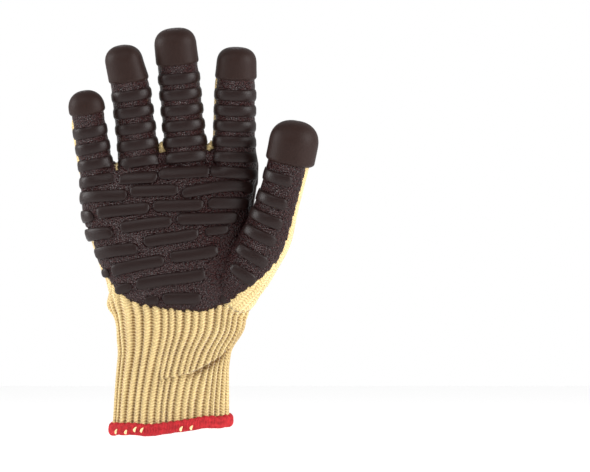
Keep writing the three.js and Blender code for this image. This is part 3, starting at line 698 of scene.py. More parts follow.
# Height is the loops' relief; Furrow, Gap and Dots say where painted shade darkens the yarn's colour.
for label, value in {
    "Height": calc("MULTIPLY", column_height, loop_height),
    "Furrow": calc("ADD", middle_line, side_line),
    "Gap": calc("MULTIPLY_ADD", beat, -0.5, 0.5),
    "Dots": dots,
}.items():
    stitch_tree.links.new(value, result[label])

# Fine unevenness of yarn, thread and rubber alike, in the object's own place.
grain_tree, given, result = new_group(
    "fine_grain", [("Scale", "Float"), ("Detail", "Float")], [("Grain", "Float")])
speckle = grain_tree.nodes.new("ShaderNodeTexNoise")
position = grain_tree.nodes.new("ShaderNodeTexCoord")
grain_tree.links.new(position.outputs["Object"], speckle.inputs["Vector"])
for label in ("Scale", "Detail"):
    grain_tree.links.new(given[label], speckle.inputs[label])
grain_tree.links.new(speckle.outputs["Fac"], result["Grain"])


def grain(tree, scale, detail):
    node = tree.nodes.new("ShaderNodeGroup")
    node.node_tree = grain_tree
    node.inputs["Scale"].default_value, node.inputs["Detail"].default_value = scale, detail
    return node.outputs["Grain"]


def new_material(name, colour, roughness, specular=0.3):
    made = bpy.data.materials.new(name)
    made.use_nodes = True
    shader = made.node_tree.nodes["Principled BSDF"]
    shader.inputs["Base Color"].default_value = (*colour, 1)
    shader.inputs["Roughness"].default_value = roughness
    shader.inputs["Specular IOR Level"].default_value = specular
    return made, made.node_tree, shader


def srgb(red, green, blue):
    """A colour as seen on a screen, 0 to 255, as the linear values that a shader takes."""
    return [((v / 255 + 0.055) / 1.055) ** 2.4 for v in (red, green, blue)]


def paint(tree, shader, amount, first, second):
    """Two colours mixed over the surface as the shader's colour."""
    node = tree.nodes.new("ShaderNodeMix")
    node.data_type = "RGBA"
    tree.links.new(amount, node.inputs[0])
    node.inputs[6].default_value, node.inputs[7].default_value = (*first, 1), (*second, 1)
    tree.links.new(node.outputs[2], shader.inputs["Base Color"])


def raise_surface(tree, shader, height, deep):
    """A bump as deep as this, in millimetres, for the shader's normal."""
    bump = tree.nodes.new("ShaderNodeBump")
    bump.inputs["Distance"].default_value = deep * MM
    tree.links.new(height, bump.inputs["Height"])
    tree.links.new(bump.outputs[0], shader.inputs["Normal"])


def attribute(tree, name):
    node = tree.nodes.new("ShaderNodeAttribute")
    node.attribute_name = name
    return node.outputs["Fac"]


yarn, tree, shader = new_material("cream_yarn", srgb(222, 196, 146), 0.95)
calc = maths(tree)
wale_map = tree.nodes.new("ShaderNodeUVMap")
wale_map.uv_map = "knit"
wobble = tree.nodes.new("ShaderNodeCombineXYZ")
tree.links.new(grain(tree, 210.0, 1.0), wobble.inputs["X"])
tree.links.new(grain(tree, 260.0, 1.0), wobble.inputs["Y"])
uneven = tree.nodes.new("ShaderNodeVectorMath")
uneven.operation = "MULTIPLY_ADD"
uneven.inputs[1].default_value = (0.2, 0.8, 0)
tree.links.new(wobble.outputs[0], uneven.inputs[0])
tree.links.new(wale_map.outputs[0], uneven.inputs[2])
loops = tree.nodes.new("ShaderNodeGroup")
loops.node_tree = stitch_tree
tree.links.new(uneven.outputs[0], loops.inputs[0])
rib = attribute(tree, "rib")
# The yarn's colour: painted shade as dots in the rib furrows and along the furrows and gaps between the
# loops, a painted highlight on the rib crests, and random patches of tone.
furrow_shade_dots = calc("MULTIPLY", calc("POWER", rib, 2.2), calc("MULTIPLY_ADD", loops.outputs["Dots"], 0.2, 0.22))
loop_furrow_shade = calc("MULTIPLY_ADD", loops.outputs["Furrow"], 0.32, calc("MULTIPLY", loops.outputs["Gap"], 0.3))
patches = calc("MULTIPLY_ADD", grain(tree, 60.0, 2.0), 0.25, -0.1)
painted_crest_highlight = calc("MULTIPLY_ADD", calc("POWER", calc("SUBTRACT", 1.0, rib), 3.0), -0.16, 0.14)
shade = calc("ADD", calc("ADD", furrow_shade_dots, loop_furrow_shade), calc("ADD", patches, painted_crest_highlight), clamp=True)
paint(tree, shader, shade, srgb(226, 200, 141), srgb(116, 82, 36))
fuzz = calc("MULTIPLY_ADD", grain(tree, 1500.0, 3.0), 0.5, loops.outputs["Height"])
raise_surface(tree, shader, fuzz, 0.75)
shader.inputs["Sheen Weight"].default_value = 0.3
shader.inputs["Sheen Roughness"].default_value = 0.5
for piece in knit_pieces:
    piece.data.materials.append(yarn)

# Rib cuff. The same yarn, knitted on as ribs that pull the glove in round the wrist; it is one with
# the hand, and its ribs run on into the hand's wales.
cuff_columns, cuff_rows, cuff_blend, cuff_slope = 480, 130, 0.62, 5


def cuff_point(phi, share, offset):
    section = section_at(cuff_table, np.minimum(share, cuff_table[-1, 0]))
    low = oval_point(cuff_width, cuff_depth, section, phi, 0.0, offset)
    top = hand_point(phi, np.full(np.shape(phi), hand_bottom), offset)
    point = low + (top - low) * smoothstep(share, cuff_blend, 1)[..., None]
    rise = cuff_slope * smoothstep(point[..., 0], -0.25 * cuff_width, 0.5 * cuff_width)
    point[..., 2] = hem_height + share * (cuff_height + 0.3) + rise * np.clip(1 - share, 0, 1)
    return point


def even_angles(place, count):
    """Angles that part a section in equal lengths, starting at the palm's middle."""
    fine = np.linspace(-90, 270, 721)
    run = run_along(place(fine))
    return np.interp(np.linspace(0, 1, count + 1) * run[-1], run, fine)


def grid_faces(rows, columns, closed=False):
    """Faces of a grid of points, rows one after another; a closed grid runs on into its first of both."""
    r, c = np.meshgrid(np.arange(rows if closed else rows - 1), np.arange(columns if closed else columns - 1),
                       indexing="ij")
    low, high, n = r * columns, (r + 1) % rows * columns, (c + 1) % columns
    return np.stack([low + c, low + n, high + n, high + c], -1).reshape(-1, 4)


def cuff_grid(columns, rows, offset):
    shares = np.linspace(-0.01, 1.02, rows)
    points = np.zeros((rows, columns + 1, 3))
    for k, share in enumerate(shares):
        level = lambda phi: cuff_point(phi, np.full(np.shape(phi), share), offset)
        points[k] = level(even_angles(level, columns))
    return points, shares


def fold_shade(p):
    """Painted shade for the hollow just below the fold's edge, 0 to 1, laid into the yarn's colour."""
    shade = np.zeros(len(p))
    near, over, fade = fold_terms(p)
    shade[near] = fade * np.exp(-((over + 1.9) / 2.1) ** 2) * (over < 0.3)
    return shade


cuff_at, cuff_shares = cuff_grid(cuff_columns, cuff_rows, 0)
cuff_out = np.cross(np.gradient(cuff_at, axis=1), np.gradient(cuff_at, axis=0))
cuff_out /= np.linalg.norm(cuff_out, axis=-1, keepdims=True)
cuff_flat = cuff_at.reshape(-1, 3)
share_round = np.broadcast_to(np.linspace(0, 1, cuff_columns + 1), cuff_at.shape[:2])
label = rib_label(share_round, cuff_at[..., 2]) + fold_shift(cuff_flat).reshape(share_round.shape)
soft = (cloth_swell(cuff_flat) + fold_relief(cuff_flat) + puff_relief(cuff_flat)).reshape(share_round.shape)
relief = rib_relief(label) + soft * smoothstep(cuff_shares, -0.02, 0.12)[:, None]
relief = relief - 0.12 * (cuff_shares[:, None] > 1)
cuff_knit = (cuff_at + cuff_out * relief[..., None]).reshape(-1, 3)
cuff_faces = grid_faces(cuff_rows, cuff_columns + 1)
cuff_normals = vertex_normals(cuff_knit, cuff_faces).reshape(cuff_rows, -1, 3)
cuff_normals[:, 0] = cuff_normals[:, -1] = cuff_normals[:, 0] + cuff_normals[:, -1]
cuff_normals = (cuff_normals / np.linalg.norm(cuff_normals, axis=-1, keepdims=True)).reshape(-1, 3)
# The cuff's rib layer also carries the painted shade below the fold.
cuff_layers = {
    "knit": np.stack([0.5 + wales_low * label.ravel(), cuff_at[..., 2].ravel() / course], -1),
    "rib": np.maximum(rib_valley(label).ravel(), 1.3 * fold_shade(cuff_flat)),
}
cuff = cut_piece("rib_cuff_knit", cuff_knit, cuff_faces, cuff_layers, normals=cuff_normals)
cuff.data.materials.append(yarn)
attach(cuff, BODY)
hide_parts("rib_cuff")

# Inner face of the liner, seen through the wrist opening: the smooth side of the same knit, a wall's
# thickness inside the outer one, from the hem up into every finger.
wall, inside_voxel, inside_columns, inside_rows, inside_wale = 2.0, 1.3, 120, 40, 4.4
inside_points, _, inside_faces = voxel_skin(glove_tubes(hand_bottom - 4, -wall), inside_voxel, 3)
inside_faces = inside_faces[inside_points[inside_faces][:, :, 2].min(1) > hand_bottom - 2][:, ::-1]
cuff_in, _ = cuff_grid(inside_columns, inside_rows, -wall - rib_depth)
cuff_in_faces = grid_faces(inside_rows, inside_columns + 1)[:, ::-1] + len(inside_points)
inside_at = np.concatenate([inside_points, cuff_in.reshape(-1, 3)])
inside = cut_piece("liner_inside", inside_at, np.concatenate([inside_faces, cuff_in_faces]), {
    "knit": np.stack([inside_at[:, 0] / inside_wale, inside_at[:, 2] / course], -1),
    "rib": np.full(len(inside_at), 0.25),
})
inside.data.materials.append(yarn)
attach(inside, BODY)

# Overlock hem. Red thread wound over the cut lower edge of the cuff by an overlock machine; each turn
# of the thread is a small ridge, and the whole hem waves a little.
hem_turns, hem_columns, hem_round = 96, 768, 18
hem_thickness, hem_tall, hem_square, thread_proud = 5.6, 6.9, 2.6, 0.13
hem_middle = 1.2 - (rib_depth + wall) / 2
hem_level = np.zeros(hem_columns)
hem_angles = even_angles(lambda phi: cuff_point(phi, np.zeros(len(phi)), 0), hem_columns)[:-1]
hem_wave = 0.35 * np.sin(5 * np.radians(hem_angles) + 1) + 0.2 * np.sin(11 * np.radians(hem_angles))
hem_count = np.arange(hem_columns)
hem_rows, crests = [], []
for turn in np.radians(np.arange(hem_round) * 360 / hem_round):
    winding = np.cos(2 * np.pi * hem_turns * hem_count / hem_columns + 0.8 * math.sin(turn))
    crest = np.abs(winding) ** 0.7
    swell = 1 + thread_proud * crest
    out = boxy(math.cos(turn), hem_square) * hem_thickness / 2 * swell
    up = boxy(math.sin(turn), hem_square) * hem_tall / 2 * swell
    ring = cuff_point(hem_angles, hem_level, hem_middle + out)
    knobs = 0.35 * np.cos(2 * np.pi * rib_count * hem_count / hem_columns)
    ring[:, 2] += up + hem_tall / 2 - hem_height + hem_wave + (knobs if math.sin(turn) > 0.2 else 0)
    hem_rows.append(ring + 0.22 * wander(ring, 3.5, 11)[:, None])
    crests.append(crest)
hem_at = np.concatenate(hem_rows)
hem_faces = grid_faces(hem_round, hem_columns, closed=True)
hem_out = vertex_normals(hem_at, hem_faces)
hem = cut_piece("overlock_thread", hem_at, hem_faces, {"crest": np.concatenate(crests)}, normals=hem_out)
thread, tree, shader = new_material("red_thread", srgb(196, 38, 44), 0.8)
calc = maths(tree)
frayed = calc("MULTIPLY_ADD", grain(tree, 420.0, 3.0), 1.3, 0.2)
# The value named worn is painted shade in the grooves between the thread's turns, mixed with random fraying
# in the red's tone.
worn = calc("MULTIPLY_ADD", attribute(tree, "crest"), -0.75, frayed, clamp=True)
paint(tree, shader, worn, srgb(190, 35, 43), srgb(96, 7, 15))
raise_surface(tree, shader, grain(tree, 1300.0, 3.0), 0.7)
hem.data.materials.append(thread)
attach(hem, BODY)
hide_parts("overlock_hem")

# Cream loops. Short ends of the cuff's own yarn that show between the turns of the red thread on the
# palm side; each is a small bent lens, shaped once and copied to its place.
cream_thread, tree, shader = new_material("cream_thread", srgb(236, 214, 160), 0.9)
paint(tree, shader, grain(tree, 900.0, 2.0), srgb(244, 226, 180), srgb(206, 170, 112))
bpy.ops.mesh.primitive_uv_sphere_add(segments=14, ring_count=10, radius=1, location=(0, 0, 0))
bpy.ops.object.mode_set(mode="EDIT")
bpy.ops.mesh.select_all(action="SELECT")
bpy.ops.transform.resize(value=(0.85, 0.6, 1.8), center_override=(0, 0, 0))
bpy.ops.transform.rotate(value=0.4, orient_axis="Y", center_override=(0, 0, 0))
bpy.ops.object.mode_set(mode="OBJECT")


def take_blank():
    """The mesh of the blank that was shaped last, and its points, with the blank cleared away."""
    blank = bpy.context.object
    mesh = blank.data
    bpy.data.objects.remove(blank)
    return mesh, read_vectors(mesh.vertices, "co")


def copy_blank(name, mesh, points, material):
    """A piece with its own copy of a blank's mesh, its points moved to these, in millimetres."""
    made = bpy.data.objects.new(name, mesh.copy())
    bpy.context.scene.collection.objects.link(made)
    made.data.vertices.foreach_set("co", (points * MM).ravel())
    made.data.update()
    made.data.shade_smooth()
    made.data.materials.append(material)
    return made


loop_mesh, loop_at = take_blank()
loop_places = [(-34.2, 1.9), (-27.8, 2.7), (-22.3, 3.2), (-18, 2.9), (6.5, 4), (12.8, 5.1)]
hem_front = (hem_at[:, 1] < 0) & (hem_out[:, 1] < -0.6)
for k, (x, z) in enumerate(loop_places, start=1):
    nearest = np.where(hem_front, np.hypot(hem_at[:, 0] - x, hem_at[:, 2] - z), outside).argmin()
    out = hem_out[nearest] * (1, 1, 0)
    out /= np.linalg.norm(out)
    across = np.cross(out, [0, 0, 1])
    curl = 0.25 * loop_at[:, 2:] ** 2
    at = (hem_at[nearest] + (loop_at[:, :1] - curl) * across + loop_at[:, 1:2] * out
          + loop_at[:, 2:] * (0, 0, 1.0))
    cream_loop = copy_blank(f"hem_cream_loop_{k}", loop_mesh, at, cream_thread)
    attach(cream_loop, BODY)

# Rubber coating. The palm side is dipped: a thin black-brown skin of rubber beads on the knit, from
# a curved edge above the wrist to the fingertip caps and round the front of the thumb.
coat_left, coat_right, thumb_coat_from, thumb_coat_to = 172, 352, 140, 322
coat_edge = np.array([
    (-50, 130), (-44, 107), (-41, 102), (-38, 96.5), (-33, 90.4), (-25, 84.8), (-17, 81.6), (-9, 80),
    (5, 78.6), (15, 77.8), (21, 77.6), (27.6, 80), (36, 83.4), (43.4, 88.8), (54, 96), (61, 103.5),
    (66.7, 110.5), (71, 117), (90, 140),
])
finger_coat = {"little": (198, 352), "ring": (176, 356), "middle": (176, 354), "index": (198, 352)}
# Where cream cloth shows at the crotches: x, z, half width, half height.
bare_crotches = [(-33.2, 168.5, 2.0, 4.5), (-5.3, 181, 3.2, 6.5), (24.1, 181, 3, 5)]
# The web band: the angles it ends at, and for the thumb its outer edge by share of the way up.
band_side, band_index_side, band_top = 30, 52, 30
band_outer = np.array([(0.3, 128), (0.38, 112), (0.46, 92), (0.58, 68), (0.75, 54), (1.0, 50)])
tip_margin, far_out, thumb_degree = 8, -20.0, 0.24


def arc_inside(place, phi, row, start, end):
    """How far, in millimetres, points lie inside the part of a section between two angles."""
    fine = np.linspace(start - 60, end + 60, 120)
    rows = np.linspace(row.min(), row.max() + 1e-6, 20)
    middle = (start + end) / 2
    at = middle + (phi - middle + 180) % 360 - 180
    table = np.array([run_along(place(fine, np.full(len(fine), r))) for r in rows])
    j = np.clip(((row - rows[0]) / (rows[1] - rows[0])).astype(int), 0, len(rows) - 1)
    i = np.clip((at - fine[0]) / (fine[1] - fine[0]), 0, len(fine) - 1.001)
    low = i.astype(int)
    run_at = table[j, low] + (table[j, low + 1] - table[j, low]) * (i - low)
    first, last = (np.array([np.interp(edge, fine, run) for run in table])[j] for edge in (start, end))
    return np.minimum(run_at - first, last - run_at)


def coat_field(p, names, found):
    """How far inside the coating's edge each point lies, and how far inside the web band's."""
    fine_x = np.linspace(coat_edge[0, 0], coat_edge[-1, 0], 160)
    fine_z = np.interp(fine_x, coat_edge[:, 0], coat_edge[:, 1])
    slope = np.interp(p[:, 0], fine_x, np.gradient(fine_z, fine_x))
    above = (p[:, 2] - np.interp(p[:, 0], fine_x, fine_z)) / np.sqrt(1 + slope ** 2)
    coat, band = np.full(len(p), far_out), np.full(len(p), far_out)
    for number, name in enumerate(tube_names):
        on = names == number
        _, phi, row = (t[on] for t in found[name])
        if name == "hand":
            place = lambda a, r: hand_point(a, r, 0)
            inside = np.minimum(arc_inside(place, phi, row, coat_left, coat_right), above[on])
            inside = np.minimum(inside, hand_top + 2.5 - row)
            side = np.minimum(arc_inside(place, phi, row, coat_right - 360, band_side),
                              row - hand_bottom - 0.47 * hand_height)
        elif name == "thumb":
            place = lambda a, r: thumb_point(a, r, 0)
            row = np.clip(row, 0, thumb_reach - tip_margin)
            inside = np.minimum(arc_inside(place, phi, row, thumb_coat_from, thumb_coat_to), above[on])
            outer = np.interp(row / thumb_reach, band_outer[:, 0], band_outer[:, 1])
            turned = (phi - 90 + 180) % 360 - 180 + 90
            side = np.minimum((turned - outer) * thumb_degree, (thumb_coat_from + 6 - turned) * thumb_degree)
            side = np.minimum(side, np.minimum(row - 0.3 * thumb_reach, thumb_reach - 0.45 * thumb_cap - row))
        else:
            place = lambda a, r: finger_point(stalls[name], a, r, 0)
            row = np.clip(row, -stall_overlap, stalls[name]["length"] - tip_margin)
            inside = arc_inside(place, phi, row, *finger_coat[name])
            side = np.full(len(row), far_out)
            if name == "index":
                side = np.minimum(arc_inside(place, phi, row, coat_right - 360, band_index_side),
                                  band_top - row)
        coat[on], band[on] = inside, side
    for x, z, half_x, half_z in bare_crotches:
        coat = np.minimum(coat, (np.hypot((p[:, 0] - x) / half_x, (p[:, 2] - z) / half_z) - 1) * half_x)
    return coat, band


def layer_rise(inside, low, high, width):
    """Height of a layer over the skin: sunk outside its edge, then a round shoulder up to its full height."""
    t = np.clip((inside + 0.4 * width) / width, 0, 1)
    return low + (high - low) * np.sqrt(1 - (1 - t) ** 2)


coat_sunk, coat_thick, coat_shoulder, finger_thicker = -0.9, 1.15, 1.6, 0.95
coat_inside, band_inside = coat_field(skin_points, skin_tube, terms)
coat_inside = np.minimum(coat_inside, 2 - band_inside)
coat_inside = blurred(np.clip(coat_inside, -8, 8), skin_faces, 5)
# The jagged edge: each small patch of loops took the dip a little further or less far than the next.
cells = np.floor(skin_u * 1.5).astype(int) * 7919 + np.floor(skin_v * 1.1).astype(int) * 104729
coat_inside = coat_inside + 0.45 * np.sin(cells * 12.9898) * (coat_inside < 2)
on_finger = np.max([smoothstep(terms[name][2], -4, 6) * (skin_tube == k)
                    for k, name in enumerate(tube_names) if name in stalls], axis=0)
fullness = coat_thick + finger_thicker * blurred(on_finger, skin_faces, 6)
coat_rise = skin_soft + layer_rise(coat_inside, coat_sunk, fullness, coat_shoulder)
coat_points = skin_points + skin_normals * coat_rise[:, None]
shown = (coat_inside[skin_faces].max(1) > -1.2) & (skin_points[skin_faces][:, :, 2].min(1) > hand_bottom)
coat = cut_piece("palm_rubber_coat", coat_points, skin_faces, {}, shown)
coat_rubber, tree, shader = new_material("beaded_rubber", srgb(34, 22, 21), 0.3, specular=0.2)
calc = maths(tree)
bead = tree.nodes.new("ShaderNodeTexVoronoi")
bead.inputs["Scale"].default_value = 800.0
position = tree.nodes.new("ShaderNodeTexCoord")
tree.links.new(position.outputs["Object"], bead.inputs["Vector"])
crown = calc("SUBTRACT", 1.0, bead.outputs["Distance"])
# The beads' colour: a painted highlight on each bead's top and painted shade in the gaps between beads.
paint(tree, shader, calc("POWER", crown, 3.0, clamp=True), srgb(26, 8, 8), srgb(66, 35, 34))
raise_surface(tree, shader, crown, 1.0)
coat.data.materials.append(coat_rubber)
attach(coat, BODY)
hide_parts("palm_coating")

# Web band. A smooth strip of the same rubber, thicker than the coating, moulded on down the back of
# the thumb, round the crotch and up the side of the index finger.
band_thick, band_shoulder = 1.9, 2.6
band_inside = blurred(np.clip(band_inside, -8, 8), skin_faces, 14)
band_rise = skin_soft + layer_rise(band_inside, coat_sunk, band_thick, band_shoulder)
band_points = skin_points + skin_normals * band_rise[:, None]
band = cut_piece("web_rubber_band", band_points, skin_faces, {}, band_inside[skin_faces].max(1) > -1.4)
smooth_rubber, tree, shader = new_material("smooth_rubber", srgb(58, 44, 42), 0.33)
band.data.materials.append(smooth_rubber)
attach(band, BODY)
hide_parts("web_band")

# Fingertip caps. Thick blunt half domes of solid rubber, moulded on the palm side of each tip and a
# little round its sides, so that the knit of the back runs on under their edge.
cap_voxel, cap_behind, cap_sunk, cap_thick, cap_shoulder = 0.4, 1.5, -0.6, 3.0, 2.6
thumb_cap_from, thumb_cap_to = 146, 360
cap_rubber, tree, shader = new_material("cap_rubber", srgb(35, 20, 16), 0.54, specular=0.15)
raise_surface(tree, shader, grain(tree, 1400.0, 3.0), 0.12)
for name in tube_names[1:]:
    if name == "thumb":
        length, width, cap_length, dome = thumb_reach, thumb_width, thumb_cap, tip_share
        place = lambda phi, along: thumb_point(phi, along, 0)
    else:
        stall = stalls[name]
        length, width, cap_length, dome = (stall[key] for key in ("length", "width", "cap", "dome"))
        place = lambda phi, along: finger_point(stall, phi, along, 0)
    start = length - cap_length
    p, n, f = voxel_skin([stall_rings(place, start - 10, length, width, 0, dome)], cap_voxel, 6)
    palm, back, tip = (place(np.array(angle), np.array(at)) for angle, at in (
        (270.0, start), (90.0, start), (270.0, length)))
    low = (back + palm) / 2
    axis = (tip - low) / np.linalg.norm(tip - low)
    front = palm - low
    front -= axis * (front @ axis)
    front /= np.linalg.norm(front)
    inside = np.minimum((p - low) @ axis, (p - low) @ front + cap_behind)
    if name == "thumb":
        _, phi, along = thumb_terms(p)
        along = np.clip(along, 0, thumb_reach - tip_margin)
        inside = np.minimum(inside, arc_inside(place, phi, along, thumb_cap_from, thumb_cap_to))
    inside = blurred(np.clip(inside, -8, 8), f, 4)
    full = cap_thick - 1.0 * np.maximum(n @ axis, 0)
    shaped = p + n * layer_rise(inside, cap_sunk, full, cap_shoulder)[:, None]
    shaped = shaped + n * cloth_swell(p)[:, None]
    cap = cut_piece(f"{name}_rubber_cap", shaped, f, {}, inside[f].max(1) > -1.3)
    cap.data.materials.append(cap_rubber)
    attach(cap, BODY)
    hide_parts(f"{name}_cap")

# Rubber bars. Flat-topped bars of the same rubber with round ends, moulded on across the fingers,
# the thumb and the palm; each is cut to its length from one blank and laid on the coating.
blank_length, bar_width, bar_height, palm_bar_width, bar_base = 60, 7.4, 3.6, 0.079 * hand_height, 1.3
bpy.ops.mesh.primitive_cube_add(size=1, location=(0, 0, 0.5))
bpy.ops.object.mode_set(mode="EDIT")
bpy.ops.mesh.select_all(action="SELECT")
bpy.ops.transform.resize(value=(blank_length, 1, 1), center_override=(0, 0, 0))
long_cuts, cross_cuts = np.linspace(-0.5, 0.5, 41)[1:-1] * blank_length, np.linspace(-0.5, 0.5, 9)[1:-1]
for way, cuts in (((1, 0, 0), long_cuts), ((0, 1, 0), cross_cuts), ((0, 0, 1), (0.2, 0.45, 0.7, 0.88))):
    for cut in cuts:
        bpy.ops.mesh.select_all(action="SELECT")
        bpy.ops.mesh.bisect(plane_co=[cut * share for share in way], plane_no=way)
bpy.ops.mesh.select_all(action="SELECT")
bpy.ops.mesh.normals_make_consistent(inside=False)
bpy.ops.object.mode_set(mode="OBJECT")
blank_mesh, blank_at = take_blank()
bar_rubber, tree, shader = new_material("bar_rubber", srgb(26, 12, 10), 0.43, specular=0.21)
raise_surface(tree, shader, grain(tree, 1500.0, 3.0), 0.1)
straight_share, bar_sunk, bar_swell = 0.7, 0.5, 0.9


def lay_bar(name, width, start, end, place):
    """The blank as a bar between two angles, its ends kept round whatever its length."""
    fine = np.linspace(start, end, 60)
    run = run_along(place(fine, (fine - start) / (end - start), 0, bar_base + bar_height / 2))
    length = run[-1]
    straight = 1 - 2 * (width * 0.5) / length
    share = blank_at[:, 0] / (blank_length / 2)
    steps = np.where(np.abs(share) < straight_share, share / straight_share * straight,
                     np.sign(share) * (straight + (np.abs(share) - straight_share) / 0.3 * (1 - straight)))
    past = np.maximum(np.abs(steps) - straight, 0) / (1 - straight)
    narrow = np.sqrt(np.maximum(1 - (past * 0.995) ** 2.1, 0))
    across, rise = blank_at[:, 1] * 2, np.clip(blank_at[:, 2], 0, 1)
    top = rise * (1 - 0.34 * np.maximum(np.abs(across), past) ** 2.4)
    phi = np.interp((steps * (1 - 0.02 * rise) + 1) / 2 * length, run, fine)
    up = across * width / 2 * narrow * (1 - 0.22 * rise ** 2.5)
    out = bar_base - bar_sunk + (bar_height + bar_swell) * top
    bar = copy_blank(name, blank_mesh, place(phi, (phi - start) / (end - start), up, out), bar_rubber)
    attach(bar, BODY)
    return bar


def lowered(out, share):
    """A bar's height over its foot, brought down to a share of itself."""
    return bar_base + (out - bar_base) * share


def side_fade(phi, least=0.35):
    """Share of a bar's full height: all of it on the palm side, and least on the sides."""
    return least + (1 - least) * np.maximum(0, -np.sin(np.radians(phi)))


def over_palm(at, ground):
    """Points of a stall's bar, brought forward where the stall's surface lies behind the palm's."""
    left, right, front, _ = section_at(hand_table, (ground[..., 2] - hand_bottom) / hand_height)
    roof = np.clip((ground[..., 2] - hand_top + shoulder) / shoulder, 0, 1)
    pull = shoulder * (1 - np.sqrt(1 - roof ** 2))
    share = np.abs(ground[..., 0] - hand_width * (left + right) / 2) / (hand_width * (right - left) / 2)
    palm = -(hand_depth * front - pull) * np.maximum(1 - share ** oval_power, 0) ** (1 / oval_power)
    behind = np.where(roof < 1, ground[..., 1] - palm, -5.0)
    rise = 0.5 * (behind + np.sqrt(behind ** 2 + 0.4)) * (1 - smoothstep(roof, 0.7, 1))
    return at - rise[..., None] * np.array([0, 1.0, 0])


# The bars of each finger: how many, the lowest and highest, how much they tilt, their height at the sides.
finger_bars = {
    "little": (4, 6.6, 37.5, 0.9, 0.8), "ring": (5, 5.6, 47.5, 0.8, 0.95),
    "middle": (6, 3.4, 53.0, 0.3, 0.95), "index": (6, -5.6, 43.6, -0.4, 0.85),
}
bar_from, bar_to, root_shorter, root_tilt = 182, 360, 14, 1.8
for name, (count, low, high, lean, least) in finger_bars.items():
    for k, along in enumerate(np.linspace(high, low, count), start=1):
        retreat = root_shorter * np.clip(1 - along / 12, 0, 1)
        tilt = lean - (root_tilt if along < 0 else 0)
        bar = lay_bar(f"{name}_rubber_bar_{k}", bar_width, bar_from + retreat, bar_to - retreat,
                      lambda phi, s, up, out: over_palm(
                          finger_point(stalls[name], phi, along + up + tilt * (s - 0.5),
                                       lowered(out, side_fade(phi, least))),
                          finger_point(stalls[name], phi, along + up, np.zeros_like(phi))))
        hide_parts(f"{name}_bar_{k}")

# The bars of the thumb, from its cap down: share of its length below the cap, and their two angles.
thumb_bars = [
    (0.078, 165, 287), (0.187, 168, 292), (0.278, 186, 296), (0.362, 206, 296), (0.464, 222, 300),
    (0.56, 240, 296),
]
for k, (down, start, end) in enumerate(thumb_bars, start=1):
    along = thumb_reach - thumb_cap - down * thumb_reach
    bar = lay_bar(f"thumb_rubber_bar_{k}", palm_bar_width, start, end,
                  lambda phi, s, up, out: thumb_point(phi, along + up, lowered(out, side_fade(phi))))
    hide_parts(f"thumb_bar_{k}")

# The bars of the palm in rows: left and right, by the width; height at both ends, by the height; and
# how many degrees the bar wraps round the hand's edge.
palm_bars = {
    "1a": (-0.28, -0.07, 0.89, 0.905, 0), "1b": (-0.065, 0.215, 0.925, 0.945, 0),
    "2a": (-0.5, -0.235, 0.762, 0.788, 16), "2b": (-0.22, 0.045, 0.81, 0.82, 0),
    "2c": (0.062, 0.455, 0.8, 0.822, 0),
    "3a": (-0.5, -0.425, 0.64, 0.65, 20), "3b": (-0.405, -0.112, 0.67, 0.705, 0),
    "3c": (-0.095, 0.182, 0.715, 0.725, 0), "3d": (0.205, 0.43, 0.735, 0.73, 0),
    "4a": (-0.46, -0.315, 0.52, 0.545, 6), "4b": (-0.275, 0.01, 0.572, 0.617, 0),
    "4c": (0.034, 0.37, 0.63, 0.64, 0),
    "5a": (-0.412, -0.175, 0.4, 0.444, 0), "5b": (-0.145, 0.155, 0.48, 0.54, 0),
    "6a": (-0.32, -0.03, 0.29, 0.365, 0), "6b": (0.0, 0.262, 0.385, 0.43, 0),
    "7a": (-0.185, 0.195, 0.205, 0.275, 0), "8a": (-0.04, 0.17, 0.115, 0.12, 0),
}
arched_bar, arch_height, palm_least = "2c", 3.4, 0.8


def palm_phi(x, z):
    left, right, _, _ = section_at(hand_table, (z - hand_bottom) / hand_height)
    share = np.clip((x - hand_width * (left + right) / 2) / (hand_width * (right - left) / 2), -1, 1)
    return 360 - math.degrees(math.acos(np.sign(share) * abs(share) ** (oval_power / 2)))


def lay_palm_bar(name, width, x_from, x_to, low, high, wrap, arch, height_share):
    """A bar or stub between two places of the palm, given in shares of the hand's width and height."""
    z_low, z_high = hand_bottom + low * hand_height, hand_bottom + high * hand_height
    start, end = palm_phi(x_from * hand_width, z_low) - wrap, palm_phi(x_to * hand_width, z_high)
    return lay_bar(name, width, start, end, lambda phi, s, up, out: hand_point(
        phi, z_low + (z_high - z_low) * s + up + arch * np.sin(np.pi * s), lowered(out, height_share(phi))))


for key, sizes in palm_bars.items():
    arch = arch_height if key == arched_bar else 0
    bar = lay_palm_bar(f"palm_rubber_bar_{key}", palm_bar_width, *sizes, arch,
                       lambda phi: side_fade(phi, palm_least))
    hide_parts(f"palm_bar_{key}")

# Stubs. Short low ends of bars, of the same rubber, that fill out the palm's rows at their ends: place
# as for the bars, then width.
stub_height = 0.62
stubs = {
    "5c": (0.19, 0.32, 0.55, 0.565, 5.6), "5d": (-0.375, -0.335, 0.275, 0.285, 5.6),
    "7b": (-0.3, -0.21, 0.165, 0.195, 5.8), "8b": (-0.135, -0.06, 0.1, 0.108, 5.6),
    "8c": (0.275, 0.345, 0.115, 0.125, 6.6),
}
for key, (x_from, x_to, low, high, width) in stubs.items():
    lay_palm_bar(f"palm_rubber_stub_{key}", width, x_from, x_to, low, high, 0, 0, lambda phi: stub_height)

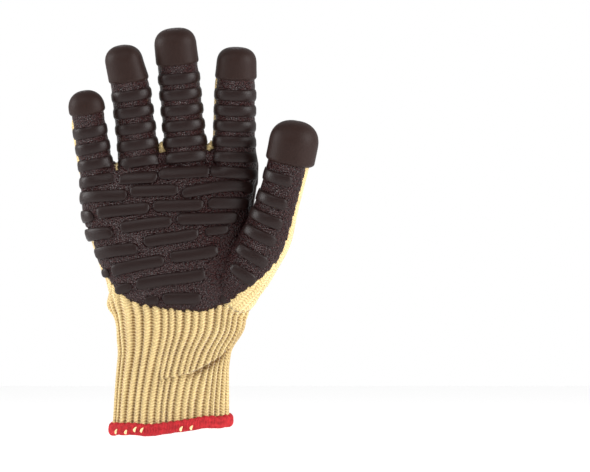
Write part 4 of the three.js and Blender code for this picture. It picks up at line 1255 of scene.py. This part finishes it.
# Studio. The glove is held up over a white paper floor in white surroundings, lit softly from above
# the palm and from both sides; the camera looks level at the palm.
floor_size, floor_low = 4.8, -0.06
bpy.ops.mesh.primitive_plane_add(size=floor_size, location=(0, 0, floor_low))
floor = bpy.context.object
floor.name = "floor"
floor.select_set(False)
paper, tree, shader = new_material("white_paper", (0.95, 0.95, 0.95), 0.9)
shader.inputs["Emission Color"].default_value = (1, 1, 1, 1)
shader.inputs["Emission Strength"].default_value = 0.4
floor.data.materials.append(paper)

# The surroundings are seen as plain white, and give less light from in front than from behind.
world = bpy.data.worlds.new("studio")
bpy.context.scene.world = world
world.use_nodes = True
air = world.node_tree
calc = maths(air)
air.nodes["Background"].inputs["Color"].default_value = (1, 1, 1, 1)
way = air.nodes.new("ShaderNodeTexCoord")
split = air.nodes.new("ShaderNodeSeparateXYZ")
air.links.new(way.outputs["Generated"], split.inputs[0])
behind = calc("MULTIPLY_ADD", split.outputs["Y"], 1.2, 0.5, clamp=True)
seen = air.nodes.new("ShaderNodeLightPath").outputs["Is Camera Ray"]
strength = calc("MAXIMUM", seen, calc("MULTIPLY_ADD", behind, 0.66, 0.19))
air.links.new(strength, air.nodes["Background"].inputs["Strength"])

# Lamps: place, what they look at, size and power.
lamps = {
    "key": ((-0.35, -1.1, 1.15), (0, 0, 0.12), 0.6, 7.5),
    "right_rim": ((1.0, -0.5, 0.5), (0.05, 0, 0.12), 0.7, 17),
    "left_rim": ((-1.1, -0.1, 0.5), (0, 0, 0.12), 0.6, 14),
}
for name, (where, aim, size, power) in lamps.items():
    light = bpy.data.lights.new(name, "AREA")
    light.shape, light.size, light.energy = "SQUARE", size, power
    lamp = bpy.data.objects.new(name, light)
    bpy.context.scene.collection.objects.link(lamp)
    lamp.location = where
    lamp.rotation_euler = Vector([a - w for a, w in zip(aim, where)]).to_track_quat("-Z", "Y").to_euler()

# The frame of the photograph shows 0.36875 m across, 2.5 m away.
view_width, view_away = 0.36875, 2.5
camera_data = bpy.data.cameras.new("camera")
camera = bpy.data.objects.new("camera", camera_data)
bpy.context.scene.collection.objects.link(camera)
camera.location = (0.0775, -view_away, 0.12375)
camera.rotation_euler = (math.pi / 2, 0, 0)
camera_data.lens, camera_data.sensor_width = 36 * view_away / view_width, 36
camera_data.clip_end = 20
bpy.context.scene.camera = camera
bpy.context.scene.view_settings.view_transform = "Standard"
